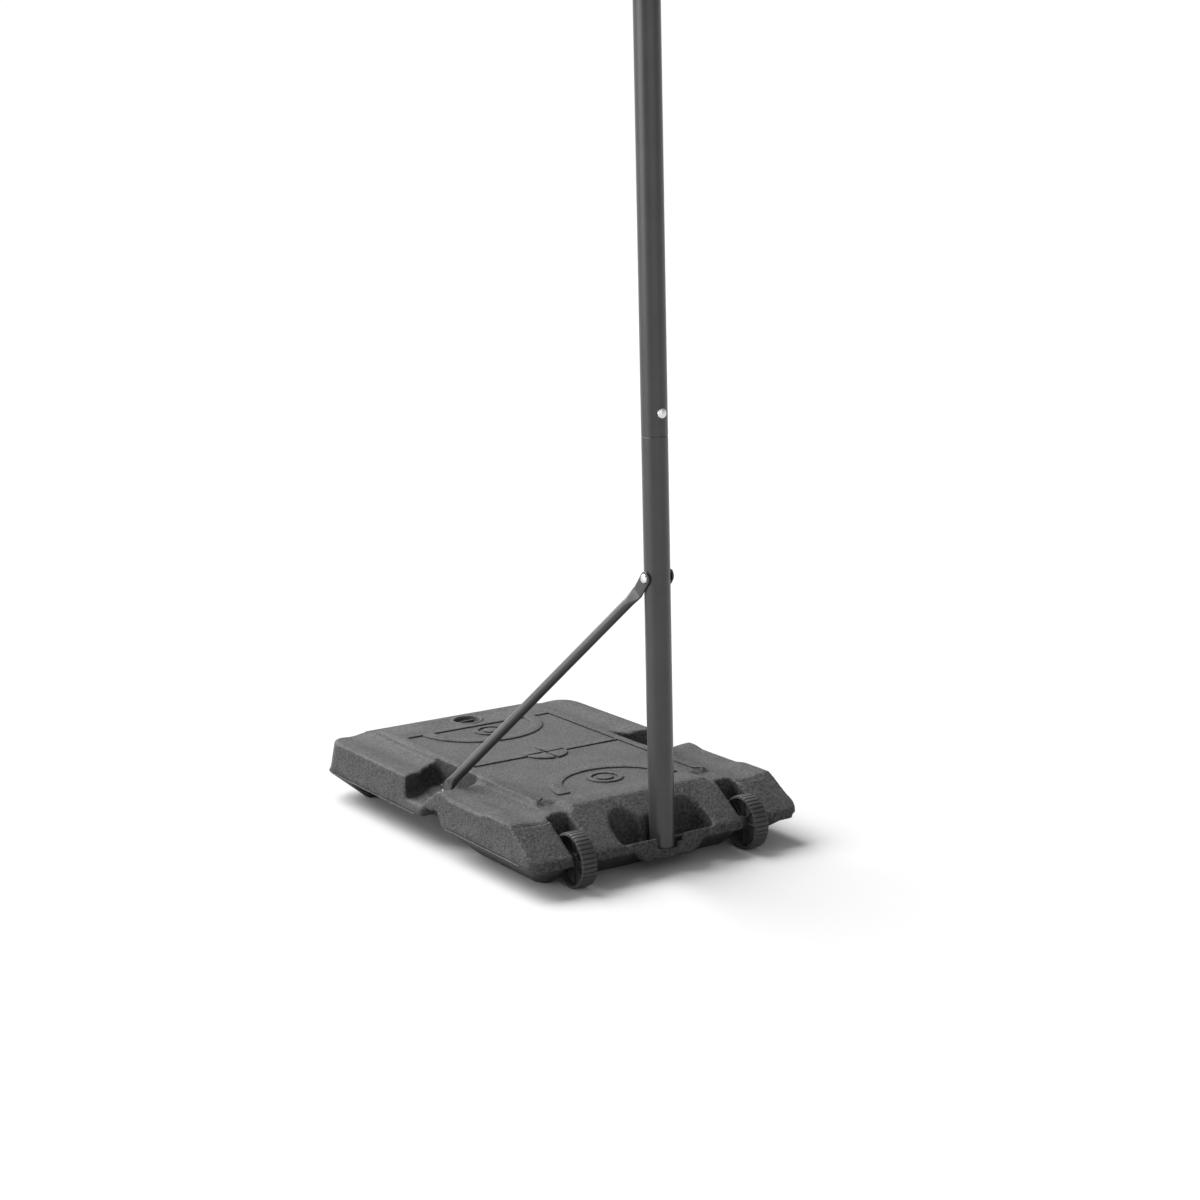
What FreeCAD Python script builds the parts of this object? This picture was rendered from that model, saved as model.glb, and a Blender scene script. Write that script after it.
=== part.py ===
import FreeCAD, Part
import math
import os
import Sketcher
from FreeCAD import Placement, Rotation, Vector

# Portable basketball hoop.
# Millimetres, +Z up, playing side towards -Y, symmetric about x = 0.
# The origin is on the floor at the centre of the overall footprint.

doc = FreeCAD.newDocument("portable_hoop")

# Driving dimensions. Every y named here is measured from the pole's axis, which stands at pole_y.
SIZES = {
    "pole_y": -237.2,
    # base tank
    "tank_half_width": 436, "tank_front": -45, "tank_back": 1210, "parting_height": 82,
    "foot_half_width": 345, "foot_front": 65, "foot_back": 1150,
    "crown_half_width": 426, "crown_front": -43, "crown_back": 1190, "crown_height": 176,
    "back_corner": 95, "front_corner": 34, "foot_corner": 60,
    "deck_height": 189, "deck_half_width": 282, "deck_front": 185, "deck_back": 1130,
    "deck_neck_half_width": 221, "deck_neck_front": 40,
    "bevel_height": 122.6, "bevel_angle": 31.96,
    "nose_half_width": 408, "nose_bottom": 69,
    "slot_inner": 241, "slot_outer": 305, "slot_back": 100,
    "well_half_width": 150, "well_front": -33, "well_back": 28, "well_floor": 68, "socket_floor": 46,
    "lobe_radius": 48, "lobe_offset": 98, "lobe_centre": 20, "pole_socket_radius": 37,
    "lip_front": -42, "lip_depth": 62, "lip_top": 97,
    "lip_wing": 118, "lip_wing_bottom": 75, "lip_cheek": 100, "lip_cheek_z": 52,
    "lip_chin": 76, "lip_chin_bottom": 35, "lip_gap": 6,
    "u_notch_half": 37, "u_notch_bottom": 62,
    "ledge_height": 113, "fin_inner": 385, "fin_crest": 473, "fin_shoulder": 547, "fin_shoulder_z": 131,
    "fin_toe": 563, "bay_outer": 450,
    "grip_front": 430, "grip_back": 588, "grip_floor": 60, "grip_roof": 116, "grip_roof_back": 545,
    "grip_roof_drop": 6,
    "arch_inner": 274, "arch_front": 430, "arch_back": 1042, "arch_roof": 77, "arch_slope": 28,
    "fill_centre": 1064, "fill_radius": 39, "fill_rim_radius": 49, "fill_rim_height": 192,
    "fill_floor": 170, "fill_throat": 26, "throat_depth": 30, "ballast_top": 150,
    "cavity_half_width": 262, "cavity_front": 112, "cavity_back": 1050, "cavity_floor": 8,
    "wing_half_width": 400, "wing_floor": 86, "wing_rear_front": 775, "wing_rear_back": 1100,
    "wing_fore_front": 125, "wing_fore_back": 420, "cavity_roof": 166,
    # filler cap
    "cap_radius": 34, "cap_thick": 7, "cap_plug": 22, "cap_plug_depth": 16, "gasket_thick": 2,
    "cap_grip_half": 22, "cap_grip_thick": 6, "cap_grip_height": 9,
    # wheels and axle
    "wheel_radius": 75.5, "wheel_inner": 256, "wheel_width": 45, "wheel_dish": 22, "wheel_back_dish": 16,
    "wheel_dish_radius": 66, "wheel_hub_radius": 19, "wheel_hub_length": 30,
    "tread_count": 36, "tread_depth": 3.2, "tread_gap": 4.4,
    "axle_y": -5, "axle_z": 76, "axle_radius": 6, "axle_clear": 0.2, "axle_half_length": 297,
    "wheel_bore": 6.06, "retainer_radius": 11, "retainer_thick": 4, "retainer_gap": 0.5,
    # poles
    "pole_radius": 34.925, "pole_wall": 1.6, "pole_bottom": 48, "pole_joint": 1167,
    "neck_radius": 33.2, "neck_top": 1262, "shoulder_length": 8, "joint_gap": 0.6, "middle_top": 2310,
    "mast_radius": 30.15, "mast_bottom": 2150, "mast_top": 3470,
    "bushing_radius": 33.1, "bushing_length": 40, "cap_skirt": 22, "cap_wall": 2, "cap_lid": 4,
    "joint_bolt_z": 1227, "strut_bolt_z": 796,
    # collar and clamp knob
    "collar_radius": 43, "collar_bottom": 2275, "collar_top": 2338, "collar_clear": 0.35,
    "boss_radius": 15, "boss_reach": 60, "boss_drop": 3, "clamp_z": 2324,
    "stud_radius": 5, "stud_clear": 0.05, "stud_gap": 0.3, "stud_in_knob": 20,
    "knob_gap": 1, "knob_thick": 22, "knob_core": 21, "knob_lobe": 9, "knob_lobe_reach": 18, "knob_lobes": 5,
    # fasteners
    "bolt_radius": 4, "bolt_head_radius": 13.2, "bolt_dome_radius": 17, "bolt_clear": 0.25,
    "bolt_tail": 9, "nut_radius": 7.5, "nut_thick": 6.5,
    # struts
    "strut_radius": 14.3, "strut_wall": 1.5, "tab_thick": 6, "tab_half_width": 19,
    "tab_flat_half": 18.6,
    "strut_top_x": 38.3, "strut_foot_x": 357, "strut_foot_y": 563, "strut_foot_z": 136,
    "tab_top_length": 58, "tab_top_lap": 12, "tab_foot_length": 58, "tab_foot_lap": 10,
    "tube_top_shift": 5, "tube_foot_shift": 4, "tube_plug": 20,
    "foot_plate_half": 26, "foot_plate_back": 44, "foot_plate_thick": 3, "foot_flange": 34,
    # backboard
    "board_face": -110, "board_half_width": 559, "board_bottom": 2896, "board_height": 737,
    "panel_thick": 4, "frame_depth": 31, "frame_width": 38, "frame_bar": 30,
    "centre_bar_x": 70, "centre_bar_z": 45, "rim_bar_top": 15,
    "square_half_width": 305, "square_bottom": 3048, "square_height": 457, "square_line": 50,
    "square_gap": 2, "line_thick": 0.6,
    "bracket_low_z": 3140, "bracket_high_z": 3400, "bracket_height": 48, "bracket_plate": 3,
    "bracket_flange": 95, "bracket_back": 24, "board_bolt_x": 70,
    # rim
    "rim_reach": 381, "rim_inner": 228.6, "rim_rod": 8, "rim_z": 3040,
    "rim_plate": 4, "rim_plate_half": 62, "rim_shelf_half": 50, "rim_mount_bottom": 2930,
    "rim_bolt_x": 40, "rim_bolt_z": 28, "shelf_lap": 2,
    "brace_radius": 6, "brace_angle": 60, "brace_foot_z": 2985, "brace_foot_x": 50, "brace_drop": 2,
    "hook_count": 12, "hook_radius": 7, "hook_rod": 1.8, "hook_sink": 0.5,
    "net_top": 3016, "net_height": 400, "net_top_radius": 226, "net_bottom_radius": 134, "net_thick": 4,
    # cutters, which only have to reach past what they cut
    "reach_edge": 10, "reach_low": 20, "reach": 60, "reach_far": 220, "reach_wide": 420,
}

sheet = doc.addObject("Spreadsheet::Sheet", "sizes")
for row, (alias, number) in enumerate(SIZES.items(), start=1):
    sheet.set("A%d" % row, alias)
    sheet.set("B%d" % row, str(number))
    sheet.setAlias("B%d" % row, alias)
doc.recompute()

X_AXIS, Y_AXIS, Z_AXIS = Vector(1, 0, 0), Vector(0, 1, 0), Vector(0, 0, 1)
SIDES = (("left", -1), ("right", 1))
nodes = []


def val(name):
    """A driving dimension, read back from the sheet."""
    return float(sheet.get(name))


def at(x, y, z):
    """A point given from the pole's axis, in the object's frame."""
    return Vector(x, y + val("pole_y"), z)


def pointing(direction):
    """The turn that carries +Z onto a direction."""
    return Rotation(Z_AXIS, direction)


def bind(thing, **sizes):
    """Bind properties to the sheet: names of cells become sizes.NAME in the expression."""
    for prop, text in sizes.items():
        words = "".join(c if c.isalnum() or c == "_" else " " for c in text).split()
        for word in sorted(set(words) & set(SIZES), key=len, reverse=True):
            text = replace_word(text, word, "sizes." + word)
        thing.setExpression(prop, text)
    return thing


def replace_word(text, word, new):
    """Swap whole words only, leaving longer names that contain the word."""
    out, token = "", ""
    for c in text + " ":
        if c.isalnum() or c in "_.":
            token += c
            continue
        out += (new if token == word else token) + c
        token = ""
    return out[:-1]


def cylinder(name, radius, length, start, direction=Z_AXIS):
    thing = doc.addObject("Part::Cylinder", name)
    bind(thing, Radius=radius, Height=length)
    thing.Placement = Placement(start, pointing(direction))
    return thing


def box(name, size_x, size_y, size_z, corner, turn=Rotation()):
    thing = doc.addObject("Part::Box", name)
    bind(thing, Length=size_x, Width=size_y, Height=size_z)
    thing.Placement = Placement(corner, turn)
    return thing


def ring(name, outer, inner, length, start, direction=Z_AXIS):
    """A tube, as one cylinder cut from another."""
    shell = cylinder(name + "_outside", outer, length, start, direction)
    hole = cylinder(name + "_bore", inner, length, start, direction)
    return cut(name, shell, [hole])


def join(name, parts, refine=True):
    thing = doc.addObject("Part::MultiFuse", name)
    thing.Shapes = parts
    thing.Refine = refine
    return thing


def group(name, parts):
    """Separate solids that share one node."""
    thing = doc.addObject("Part::Compound", name)
    thing.Links = parts
    return thing


def cut(name, base, tools):
    thing = doc.addObject("Part::Cut", name)
    thing.Base = base
    thing.Tool = tools[0] if len(tools) == 1 else join(name + "_tools", tools)
    return thing


def prism(name, points, direction, depth):
    """A closed flat outline, drawn out along a direction."""
    outline = doc.addObject("Part::Polygon", name + "_outline")
    outline.Nodes = points
    outline.Close = True
    thing = doc.addObject("Part::Extrusion", name)
    thing.Base = outline
    thing.Dir = direction
    thing.Solid = True
    bind(thing, LengthFwd=depth)
    return thing


def outward_prism(name, sign, points, start, depth):
    """A closed outline of (y, z) points, drawn away from x = 0 from a distance."""
    return prism(name, [at(sign * start, y, z) for y, z in points], X_AXIS * sign, depth)


def tapered(name, low, high, bottom, height):
    """A block whose plan grows or shrinks upwards: low and high name half width, front and back."""
    thing = doc.addObject("Part::Wedge", name)
    bind(thing, Xmin="-" + low[0], Xmax=low[0], Zmin="-" + low[2], Zmax="-" + low[1])
    bind(thing, X2min="-" + high[0], X2max=high[0], Z2min="-" + high[2], Z2max="-" + high[1])
    bind(thing, Ymin="0", Ymax=height)
    thing.Placement = Placement(at(0, 0, bottom), Rotation(X_AXIS, 90))
    return thing


def round_corners(name, block, front, back):
    """Round the four upright corner edges of a tapered block."""
    doc.recompute()
    edges = []
    for index, edge in enumerate(block.Shape.Edges, start=1):
        ends = [v.Point for v in edge.Vertexes]
        if abs(ends[0].z - ends[1].z) > 1:
            radius = front if ends[0].y < 0 else back
            edges.append((index, val(radius), val(radius)))
    thing = doc.addObject("Part::Fillet", name)
    thing.Base = block
    thing.Edges = edges
    return thing


def node(thing, label):
    """Name a finished sub-part, which is written out under that name."""
    thing.Label = label
    nodes.append(thing)
    return thing


# ---------------------------------------------------------------- fasteners

def dome_bolt(name, seat, direction, length):
    """A round-headed bolt: its head sits at seat, its shank runs along direction."""
    head = doc.addObject("Part::Sphere", name + "_head")
    bind(head, Radius="bolt_dome_radius", Angle1="acos(bolt_head_radius / bolt_dome_radius)")
    sink = math.sqrt(val("bolt_dome_radius") ** 2 - val("bolt_head_radius") ** 2)
    head.Placement = Placement(seat + direction * sink, pointing(direction * -1))
    shank = cylinder(name + "_shank", "bolt_radius", length, seat, direction)
    return join(name, [head, shank])


def hex_nut(name, seat, direction):
    """A hexagon nut that stands on its seat along direction, on a bolt's shank."""
    body = doc.addObject("Part::Prism", name + "_body")
    body.Polygon = 6
    bind(body, Circumradius="nut_radius", Height="nut_thick")
    body.Placement = Placement(seat, pointing(direction))
    return cut(name, body, [cylinder(name + "_bore", "bolt_radius", "nut_thick", seat, direction)])


def bolt_hole(name, centre, direction):
    """A bolt's clearance hole, reaching both ways from a point."""
    start = centre - direction * val("reach")
    return cylinder(name, "bolt_radius + bolt_clear", "2 * reach", start, direction)


# ---------------------------------------------------------------- base

def both_sides(make):
    """Build a thing on each side of x = 0."""
    return [make(side, sign) for side, sign in SIDES]


def tank_block():
    """The outer form of the moulded tank, before anything is cut from it."""
    low = tapered("tank_lower", ("foot_half_width", "foot_front", "foot_back"),
                  ("tank_half_width", "tank_front", "tank_back"), 0, "parting_height")
    high = tapered("tank_upper", ("tank_half_width", "tank_front", "tank_back"),
                   ("crown_half_width", "crown_front", "crown_back"), val("parting_height"),
                   "crown_height - parting_height")
    deck = box("deck", "2 * deck_half_width", "deck_back - deck_front", "deck_height - parting_height",
               at(-val("deck_half_width"), val("deck_front"), val("parting_height")))
    neck = box("deck_neck", "2 * deck_neck_half_width", "deck_back - deck_neck_front",
               "deck_height - parting_height",
               at(-val("deck_neck_half_width"), val("deck_neck_front"), val("parting_height")))
    fill_rim = cylinder("fill_rim", "fill_rim_radius", "fill_rim_height - parting_height",
                        at(0, val("fill_centre"), val("parting_height")))
    nose = box("nose", "2 * nose_half_width", "slot_back - tank_front", "parting_height - nose_bottom",
               at(-val("nose_half_width"), val("tank_front"), val("nose_bottom")))
    return join("tank_block", [round_corners("tank_lower_round", low, "foot_corner", "back_corner"),
                               round_corners("tank_upper_round", high, "front_corner", "back_corner"),
                               nose, deck, neck, fill_rim])


def lip():
    """The ledge across the pole's foot, with a chin that narrows downwards."""
    right = [(val("lip_wing"), val("lip_top")), (val("lip_wing"), val("lip_wing_bottom")),
             (val("lip_cheek"), val("lip_cheek_z")), (val("lip_chin"), val("lip_chin_bottom"))]
    left = [(-x, z) for x, z in reversed(right)]
    return prism("lip_plate", [at(x, val("lip_front"), z) for x, z in right + left], Y_AXIS, "lip_depth")


def bevel_cutter():
    """Everything above the sloping front face."""
    start = val("tank_front") - val("reach")
    rise = math.tan(math.radians(val("bevel_angle")))
    corner = at(-val("tank_half_width") - val("reach"), start, val("bevel_height") + start * rise)
    return box("bevel_cutter", "2 * tank_half_width + 2 * reach", "reach_wide", "reach_far", corner,
               Rotation(X_AXIS, val("bevel_angle")))


def wheel_slot(side, sign):
    inner = val("slot_inner") if sign > 0 else -val("slot_outer")
    return box("wheel_slot_" + side, "slot_outer - slot_inner", "slot_back - tank_front + reach",
               "reach_wide", at(inner, val("tank_front") - val("reach"), -val("reach_low")))


def side_notch(side, sign):
    """The bay in the tank's flank for a strut's foot, a sloping fin outside it and a grip below."""
    ledge, inner, outer = val("ledge_height"), val("fin_inner"), val("bay_outer")
    crest, toe = val("fin_crest"), val("fin_toe")
    front_wall = [(inner, 480), (330, 487), (288, 498)]
    inner_wall = [(276, 520), (276, 735), (291, 750)]
    back_wall = [(329, 737), (362, 699), (436, 657), (outer, 650)]
    outline = front_wall + inner_wall + back_wall + [(outer, toe), (inner, toe)]
    bay = prism("notch_" + side, [at(sign * x, y, ledge) for x, y in outline], Z_AXIS, "2 * reach")
    above = val("crown_height") + val("reach")
    fin = [(toe, ledge), (val("fin_shoulder"), val("fin_shoulder_z")), (crest, val("crown_height") + 1),
           (crest, above), (toe, above)]
    slope = outward_prism("fin_slope_" + side, sign, fin, inner - 1, "2 * reach")
    floor, roof = val("grip_floor"), val("grip_roof")
    grip = [(val("grip_front"), floor), (crest, roof),
            (val("grip_roof_back"), roof - val("grip_roof_drop")), (val("grip_back"), floor)]
    hold = outward_prism("grip_" + side, sign, grip, inner, "2 * reach")
    return join("notch_cutter_" + side, [bay, slope, hold])


def floor_arch(side, sign):
    """The flank's underside, raised off the floor between the front and the back foot."""
    front, back, roof, slope = val("arch_front"), val("arch_back"), val("arch_roof"), val("arch_slope")
    below = -val("reach_low")
    outline = [(front - slope, below), (front - slope, 0), (front, roof),
               (back, roof), (back + slope, 0), (back + slope, below)]
    return outward_prism("floor_arch_" + side, sign, outline, val("arch_inner"), "reach_far")


def pole_well():
    """The pocket behind the lip: a trough, a lobe each side and a round socket for the pole."""
    depth = "reach_far"
    trough = box("well_trough", "2 * well_half_width", "well_back - well_front", depth,
                 at(-val("well_half_width"), val("well_front"), val("well_floor")))
    lobes = [cylinder("well_lobe_" + side, "lobe_radius", depth,
                      at(sign * val("lobe_offset"), val("lobe_centre"), val("well_floor")))
             for side, sign in SIDES]
    socket = cylinder("pole_socket", "pole_socket_radius", depth, at(0, 0, val("socket_floor")))
    notch = box("u_notch", "2 * u_notch_half", "reach", depth,
                at(-val("u_notch_half"), -val("reach"), val("u_notch_bottom")))
    return [trough, socket, notch] + lobes


def cavity(name, top):
    """The hollow that holds the ballast, up to a height given in the sheet."""
    middle = box(name + "_middle", "2 * cavity_half_width", "cavity_back - cavity_front",
                 top + " - cavity_floor",
                 at(-val("cavity_half_width"), val("cavity_front"), val("cavity_floor")))
    wings = []
    for place in ("rear", "fore"):
        corner = at(-val("wing_half_width"), val("wing_%s_front" % place), val("wing_floor"))
        wings.append(box("%s_%s" % (name, place), "2 * wing_half_width",
                         "wing_%s_back - wing_%s_front" % (place, place), top + " - wing_floor", corner))
    return join(name, [middle] + wings)


def fill_well():
    """The round recess for the filler cap, and the throat that opens into the hollow."""
    centre = val("fill_centre")
    recess = cylinder("fill_recess", "fill_radius", "reach", at(0, centre, val("fill_floor")))
    throat = cylinder("fill_throat_hole", "fill_throat", "throat_depth + reach",
                      at(0, centre, val("fill_floor") - val("throat_depth")))
    return [recess, throat]


def axle_hole(name, half_length):
    """The axle's clearance hole, as long as a half length given in the sheet reaches both ways."""
    return cylinder(name, "axle_radius + axle_clear", "2 * " + half_length,
                    at(-val(half_length), val("axle_y"), val("axle_z")), X_AXIS)


def base_tank():
    corner = at(-val("lip_wing") - val("lip_gap"), val("lip_front") - val("reach"), -val("reach_low"))
    front_room = box("lip_recess", "2 * lip_wing + 2 * lip_gap", "reach", "reach_far", corner)
    shaped = cut("tank_shaped", tank_block(), [front_room])
    with_lip = join("tank_with_lip", [shaped, lip()])
    cutters = [bevel_cutter(), axle_hole("tank_axle_hole", "axle_half_length"),
               cavity("hollow", "cavity_roof")]
    cutters += both_sides(wheel_slot) + both_sides(side_notch) + both_sides(floor_arch)
    cutters += pole_well() + fill_well()
    node(cut("tank", with_lip, cutters), "base_tank")


def ballast():
    node(cavity("ballast_fill", "ballast_top"), "ballast_fill")


def filler_cap():
    seat = val("fill_floor")
    centre = val("fill_centre")
    gasket = ring("gasket", "cap_radius", "fill_throat", "gasket_thick", at(0, centre, seat))
    node(gasket, "cap_gasket")
    lid_z = seat + val("gasket_thick")
    lid = cylinder("cap_lid", "cap_radius", "cap_thick", at(0, centre, lid_z))
    plug = cylinder("cap_plug_stem", "cap_plug", "cap_plug_depth + gasket_thick",
                    at(0, centre, lid_z - val("gasket_thick") - val("cap_plug_depth")))
    grip = box("cap_grip", "2 * cap_grip_half", "cap_grip_thick", "cap_grip_height",
               at(-val("cap_grip_half"), centre - val("cap_grip_thick") / 2, lid_z + val("cap_thick")))
    node(join("cap", [lid, plug, grip]), "filler_cap")


# ---------------------------------------------------------------- wheels

def plane_of(body, role):
    return next(feature for feature in body.Origin.OriginFeatures if feature.Role == role)


def circle_sketch(body, name, offset, radii):
    """Concentric circles on the body's YZ plane, at an offset along the axle."""
    sketch = body.newObject("Sketcher::SketchObject", name)
    sketch.AttachmentSupport = (plane_of(body, "YZ_Plane"), [""])
    sketch.MapMode = "FlatFace"
    sketch.AttachmentOffset = Placement(Vector(0, 0, offset), Rotation())
    for radius in radii:
        index = sketch.addGeometry(Part.Circle(Vector(0, 0, 0), Z_AXIS, val(radius)), False)
        constraint = sketch.addConstraint(Sketcher.Constraint("Radius", index, val(radius)))
        sketch.setExpression("Constraints[%d]" % constraint, "sizes." + radius)
        sketch.addConstraint(Sketcher.Constraint("Coincident", index, 3, -1, 1))
    return sketch


def pocket(body, name, sketch, length=None, backwards=False):
    """A pocket that must remove material."""
    doc.recompute()
    before = body.Shape.Volume
    thing = body.newObject("PartDesign::Pocket", name)
    thing.Profile = sketch
    thing.Type = "Length" if length else "ThroughAll"
    if length:
        thing.setExpression("Length", length)
    else:
        thing.Midplane = True
    thing.Reversed = backwards
    doc.recompute()
    if body.Shape.Volume >= before - 1:
        raise RuntimeError(name + " removed nothing")
    return thing


def tread_sketch(body):
    """One gap between two tread bars, at the top of the wheel."""
    half, low = val("tread_gap") / 2, val("wheel_radius") - val("tread_depth")
    high = val("wheel_radius") + val("reach_edge")
    corners = [Vector(-half, low, 0), Vector(half, low, 0), Vector(half, high, 0), Vector(-half, high, 0)]
    sketch = body.newObject("Sketcher::SketchObject", body.Name + "_tread_gap")
    sketch.AttachmentSupport = (plane_of(body, "YZ_Plane"), [""])
    sketch.MapMode = "FlatFace"
    for start, end in zip(corners, corners[1:] + corners[:1]):
        sketch.addGeometry(Part.LineSegment(start, end), False)
    return sketch


def wheel(side, sign):
    """A moulded wheel: a drum dished on both faces, a web, a hub, a bore and a barred tread."""
    body = doc.addObject("PartDesign::Body", "wheel_" + side)
    drum = body.newObject("PartDesign::Pad", "drum_" + side)
    drum.Profile = circle_sketch(body, "drum_outline_" + side, 0, ["wheel_radius"])
    drum.setExpression("Length", "sizes.wheel_width")
    doc.recompute()
    dish = circle_sketch(body, "dish_outline_" + side, val("wheel_width"),
                         ["wheel_dish_radius", "wheel_hub_radius"])
    pocket(body, "dish_" + side, dish, "sizes.wheel_dish")
    back = circle_sketch(body, "back_dish_outline_" + side, 0, ["wheel_dish_radius", "wheel_hub_radius"])
    pocket(body, "back_dish_" + side, back, "sizes.wheel_back_dish", backwards=True)
    hub_face = circle_sketch(body, "hub_face_outline_" + side, val("wheel_width"), ["wheel_hub_radius"])
    pocket(body, "hub_face_" + side, hub_face, "sizes.wheel_width - sizes.wheel_hub_length")
    pocket(body, "bore_" + side, circle_sketch(body, "bore_outline_" + side, 0, ["wheel_bore"]))
    gap = pocket(body, "tread_gap_" + side, tread_sketch(body))
    treads = body.newObject("PartDesign::PolarPattern", "treads_" + side)
    treads.Originals = [gap]
    treads.Axis = (plane_of(body, "X_Axis"), [""])
    treads.Angle = 360
    treads.setExpression("Occurrences", "sizes.tread_count")
    body.Tip = treads
    turn = Rotation() if sign > 0 else Rotation(Z_AXIS, 180)
    body.Placement = Placement(at(sign * val("wheel_inner"), val("axle_y"), val("axle_z")), turn)
    node(body, "wheel_" + side)


def axle():
    rod = cylinder("axle_rod", "axle_radius", "2 * axle_half_length",
                   at(-val("axle_half_length"), val("axle_y"), val("axle_z")), X_AXIS)
    node(rod, "axle")
    for side, sign in SIDES:
        start = sign * (val("wheel_inner") + val("wheel_hub_length") + val("retainer_gap"))
        clip = ring("clip_" + side, "retainer_radius", "axle_radius", "retainer_thick",
                    at(start, val("axle_y"), val("axle_z")), X_AXIS * sign)
        node(clip, "axle_retainer_" + side)


# ---------------------------------------------------------------- poles

def lower_pole():
    wall = ring("lower_tube", "pole_radius", "pole_radius - pole_wall", "pole_joint - pole_bottom",
                at(0, 0, val("pole_bottom")))
    low = at(0, 0, val("pole_joint") - val("shoulder_length"))
    shoulder = ring("shoulder", "pole_radius", "neck_radius - pole_wall", "shoulder_length", low)
    neck = ring("neck", "neck_radius", "neck_radius - pole_wall",
                "neck_top - pole_joint + shoulder_length", low)
    holes = [axle_hole("pole_axle_hole", "reach"),
             bolt_hole("strut_bolt_hole", at(0, 0, val("strut_bolt_z")), X_AXIS),
             bolt_hole("neck_bolt_hole", at(0, 0, val("joint_bolt_z")), Y_AXIS)]
    node(cut("lower_pole_drilled", join("lower_pole_tube", [wall, shoulder, neck]), holes), "lower_pole")


def middle_pole():
    tube = ring("middle_tube", "pole_radius", "pole_radius - pole_wall",
                "middle_top - pole_joint - joint_gap", at(0, 0, val("pole_joint") + val("joint_gap")))
    hole = bolt_hole("middle_bolt_hole", at(0, 0, val("joint_bolt_z")), Y_AXIS)
    node(cut("middle_pole_drilled", tube, [hole]), "middle_pole")


def pole_joint_bolt():
    seat = -val("pole_radius")
    node(dome_bolt("joint_bolt", at(0, seat, val("joint_bolt_z")), Y_AXIS, "2 * pole_radius + bolt_tail"),
         "pole_joint_bolt")
    node(hex_nut("joint_nut", at(0, -seat, val("joint_bolt_z")), Y_AXIS), "pole_joint_nut")


def upper_pole():
    tube = ring("mast_tube", "mast_radius", "mast_radius - pole_wall", "mast_top - mast_bottom",
                at(0, 0, val("mast_bottom")))
    holes = [bolt_hole("mast_hole_" + level, at(0, 0, val("bracket_%s_z" % level)), X_AXIS)
             for level in ("low", "high")]
    node(cut("upper_pole_drilled", tube, holes), "upper_pole")
    node(ring("bushing", "bushing_radius", "mast_radius", "bushing_length", at(0, 0, val("mast_bottom"))),
         "guide_bushing")
    top = val("mast_top")
    lid = cylinder("mast_cap_lid", "mast_radius + cap_wall", "cap_lid", at(0, 0, top))
    skirt = ring("mast_cap_skirt", "mast_radius + cap_wall", "mast_radius", "cap_skirt",
                 at(0, 0, top - val("cap_skirt")))
    node(join("mast_cap", [lid, skirt]), "pole_cap")


def collar():
    """The moulded collar on the middle pole, with the boss that carries the clamp knob."""
    low = at(0, 0, val("collar_bottom"))
    boss_start = at(0, 0, val("clamp_z") - val("boss_drop"))
    body = cylinder("collar_body", "collar_radius", "collar_top - collar_bottom", low)
    boss = cylinder("collar_boss", "boss_radius", "boss_reach", boss_start, Y_AXIS)
    seat = cylinder("collar_seat", "pole_radius", "middle_top - collar_bottom", low)
    passage = cylinder("collar_passage", "mast_radius + collar_clear", "reach_far", low)
    thread = cylinder("collar_thread", "stud_radius + stud_clear", "reach_far",
                      at(0, 0, val("clamp_z")), Y_AXIS)
    node(cut("collar", join("collar_form", [body, boss]), [seat, passage, thread]), "pole_collar")


def clamp_knob():
    """The knob's stud stops just short of the upper pole, and its lobed grip just short of the boss."""
    height, reach = val("clamp_z"), val("knob_lobe_reach")
    stud = cylinder("knob_stud", "stud_radius", "boss_reach + stud_in_knob - mast_radius",
                    at(0, val("mast_radius") + val("stud_gap"), height), Y_AXIS)
    start = val("boss_reach") + val("knob_gap")
    core = cylinder("knob_core_disc", "knob_core", "knob_thick", at(0, start, height), Y_AXIS)
    lobes = []
    for index in range(int(val("knob_lobes"))):
        angle = math.radians(360 * index / val("knob_lobes"))
        spot = at(reach * math.sin(angle), start, height + reach * math.cos(angle))
        lobes.append(cylinder("knob_lobe_%d" % index, "knob_lobe", "knob_thick", spot, Y_AXIS))
    node(join("knob", [stud, core] + lobes), "clamp_knob")


# ---------------------------------------------------------------- struts

def strut_points(sign):
    """Centres of the two flattened eyes, and the run between them in the plane of the flats."""
    top = at(sign * val("strut_top_x"), 0, val("strut_bolt_z"))
    foot = at(sign * val("strut_foot_x"), val("strut_foot_y"), val("strut_foot_z"))
    run = Vector(0, foot.y - top.y, foot.z - top.z)
    return top, foot, run.normalize()


def eye(name, centre, run, length):
    """A flattened tube end: a flat with a round end, drilled for a bolt along X."""
    half, thick = val("tab_flat_half"), val("tab_thick")
    turn = Rotation(X_AXIS, run, X_AXIS.cross(run), "XYZ")
    corner = centre - X_AXIS * (thick / 2) - X_AXIS.cross(run) * half
    flat = box(name + "_flat", "tab_thick", length, "2 * tab_flat_half", corner, turn)
    end = cylinder(name + "_end", "tab_half_width", "tab_thick", centre - X_AXIS * (thick / 2), X_AXIS)
    return join(name, [flat, end])


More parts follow.
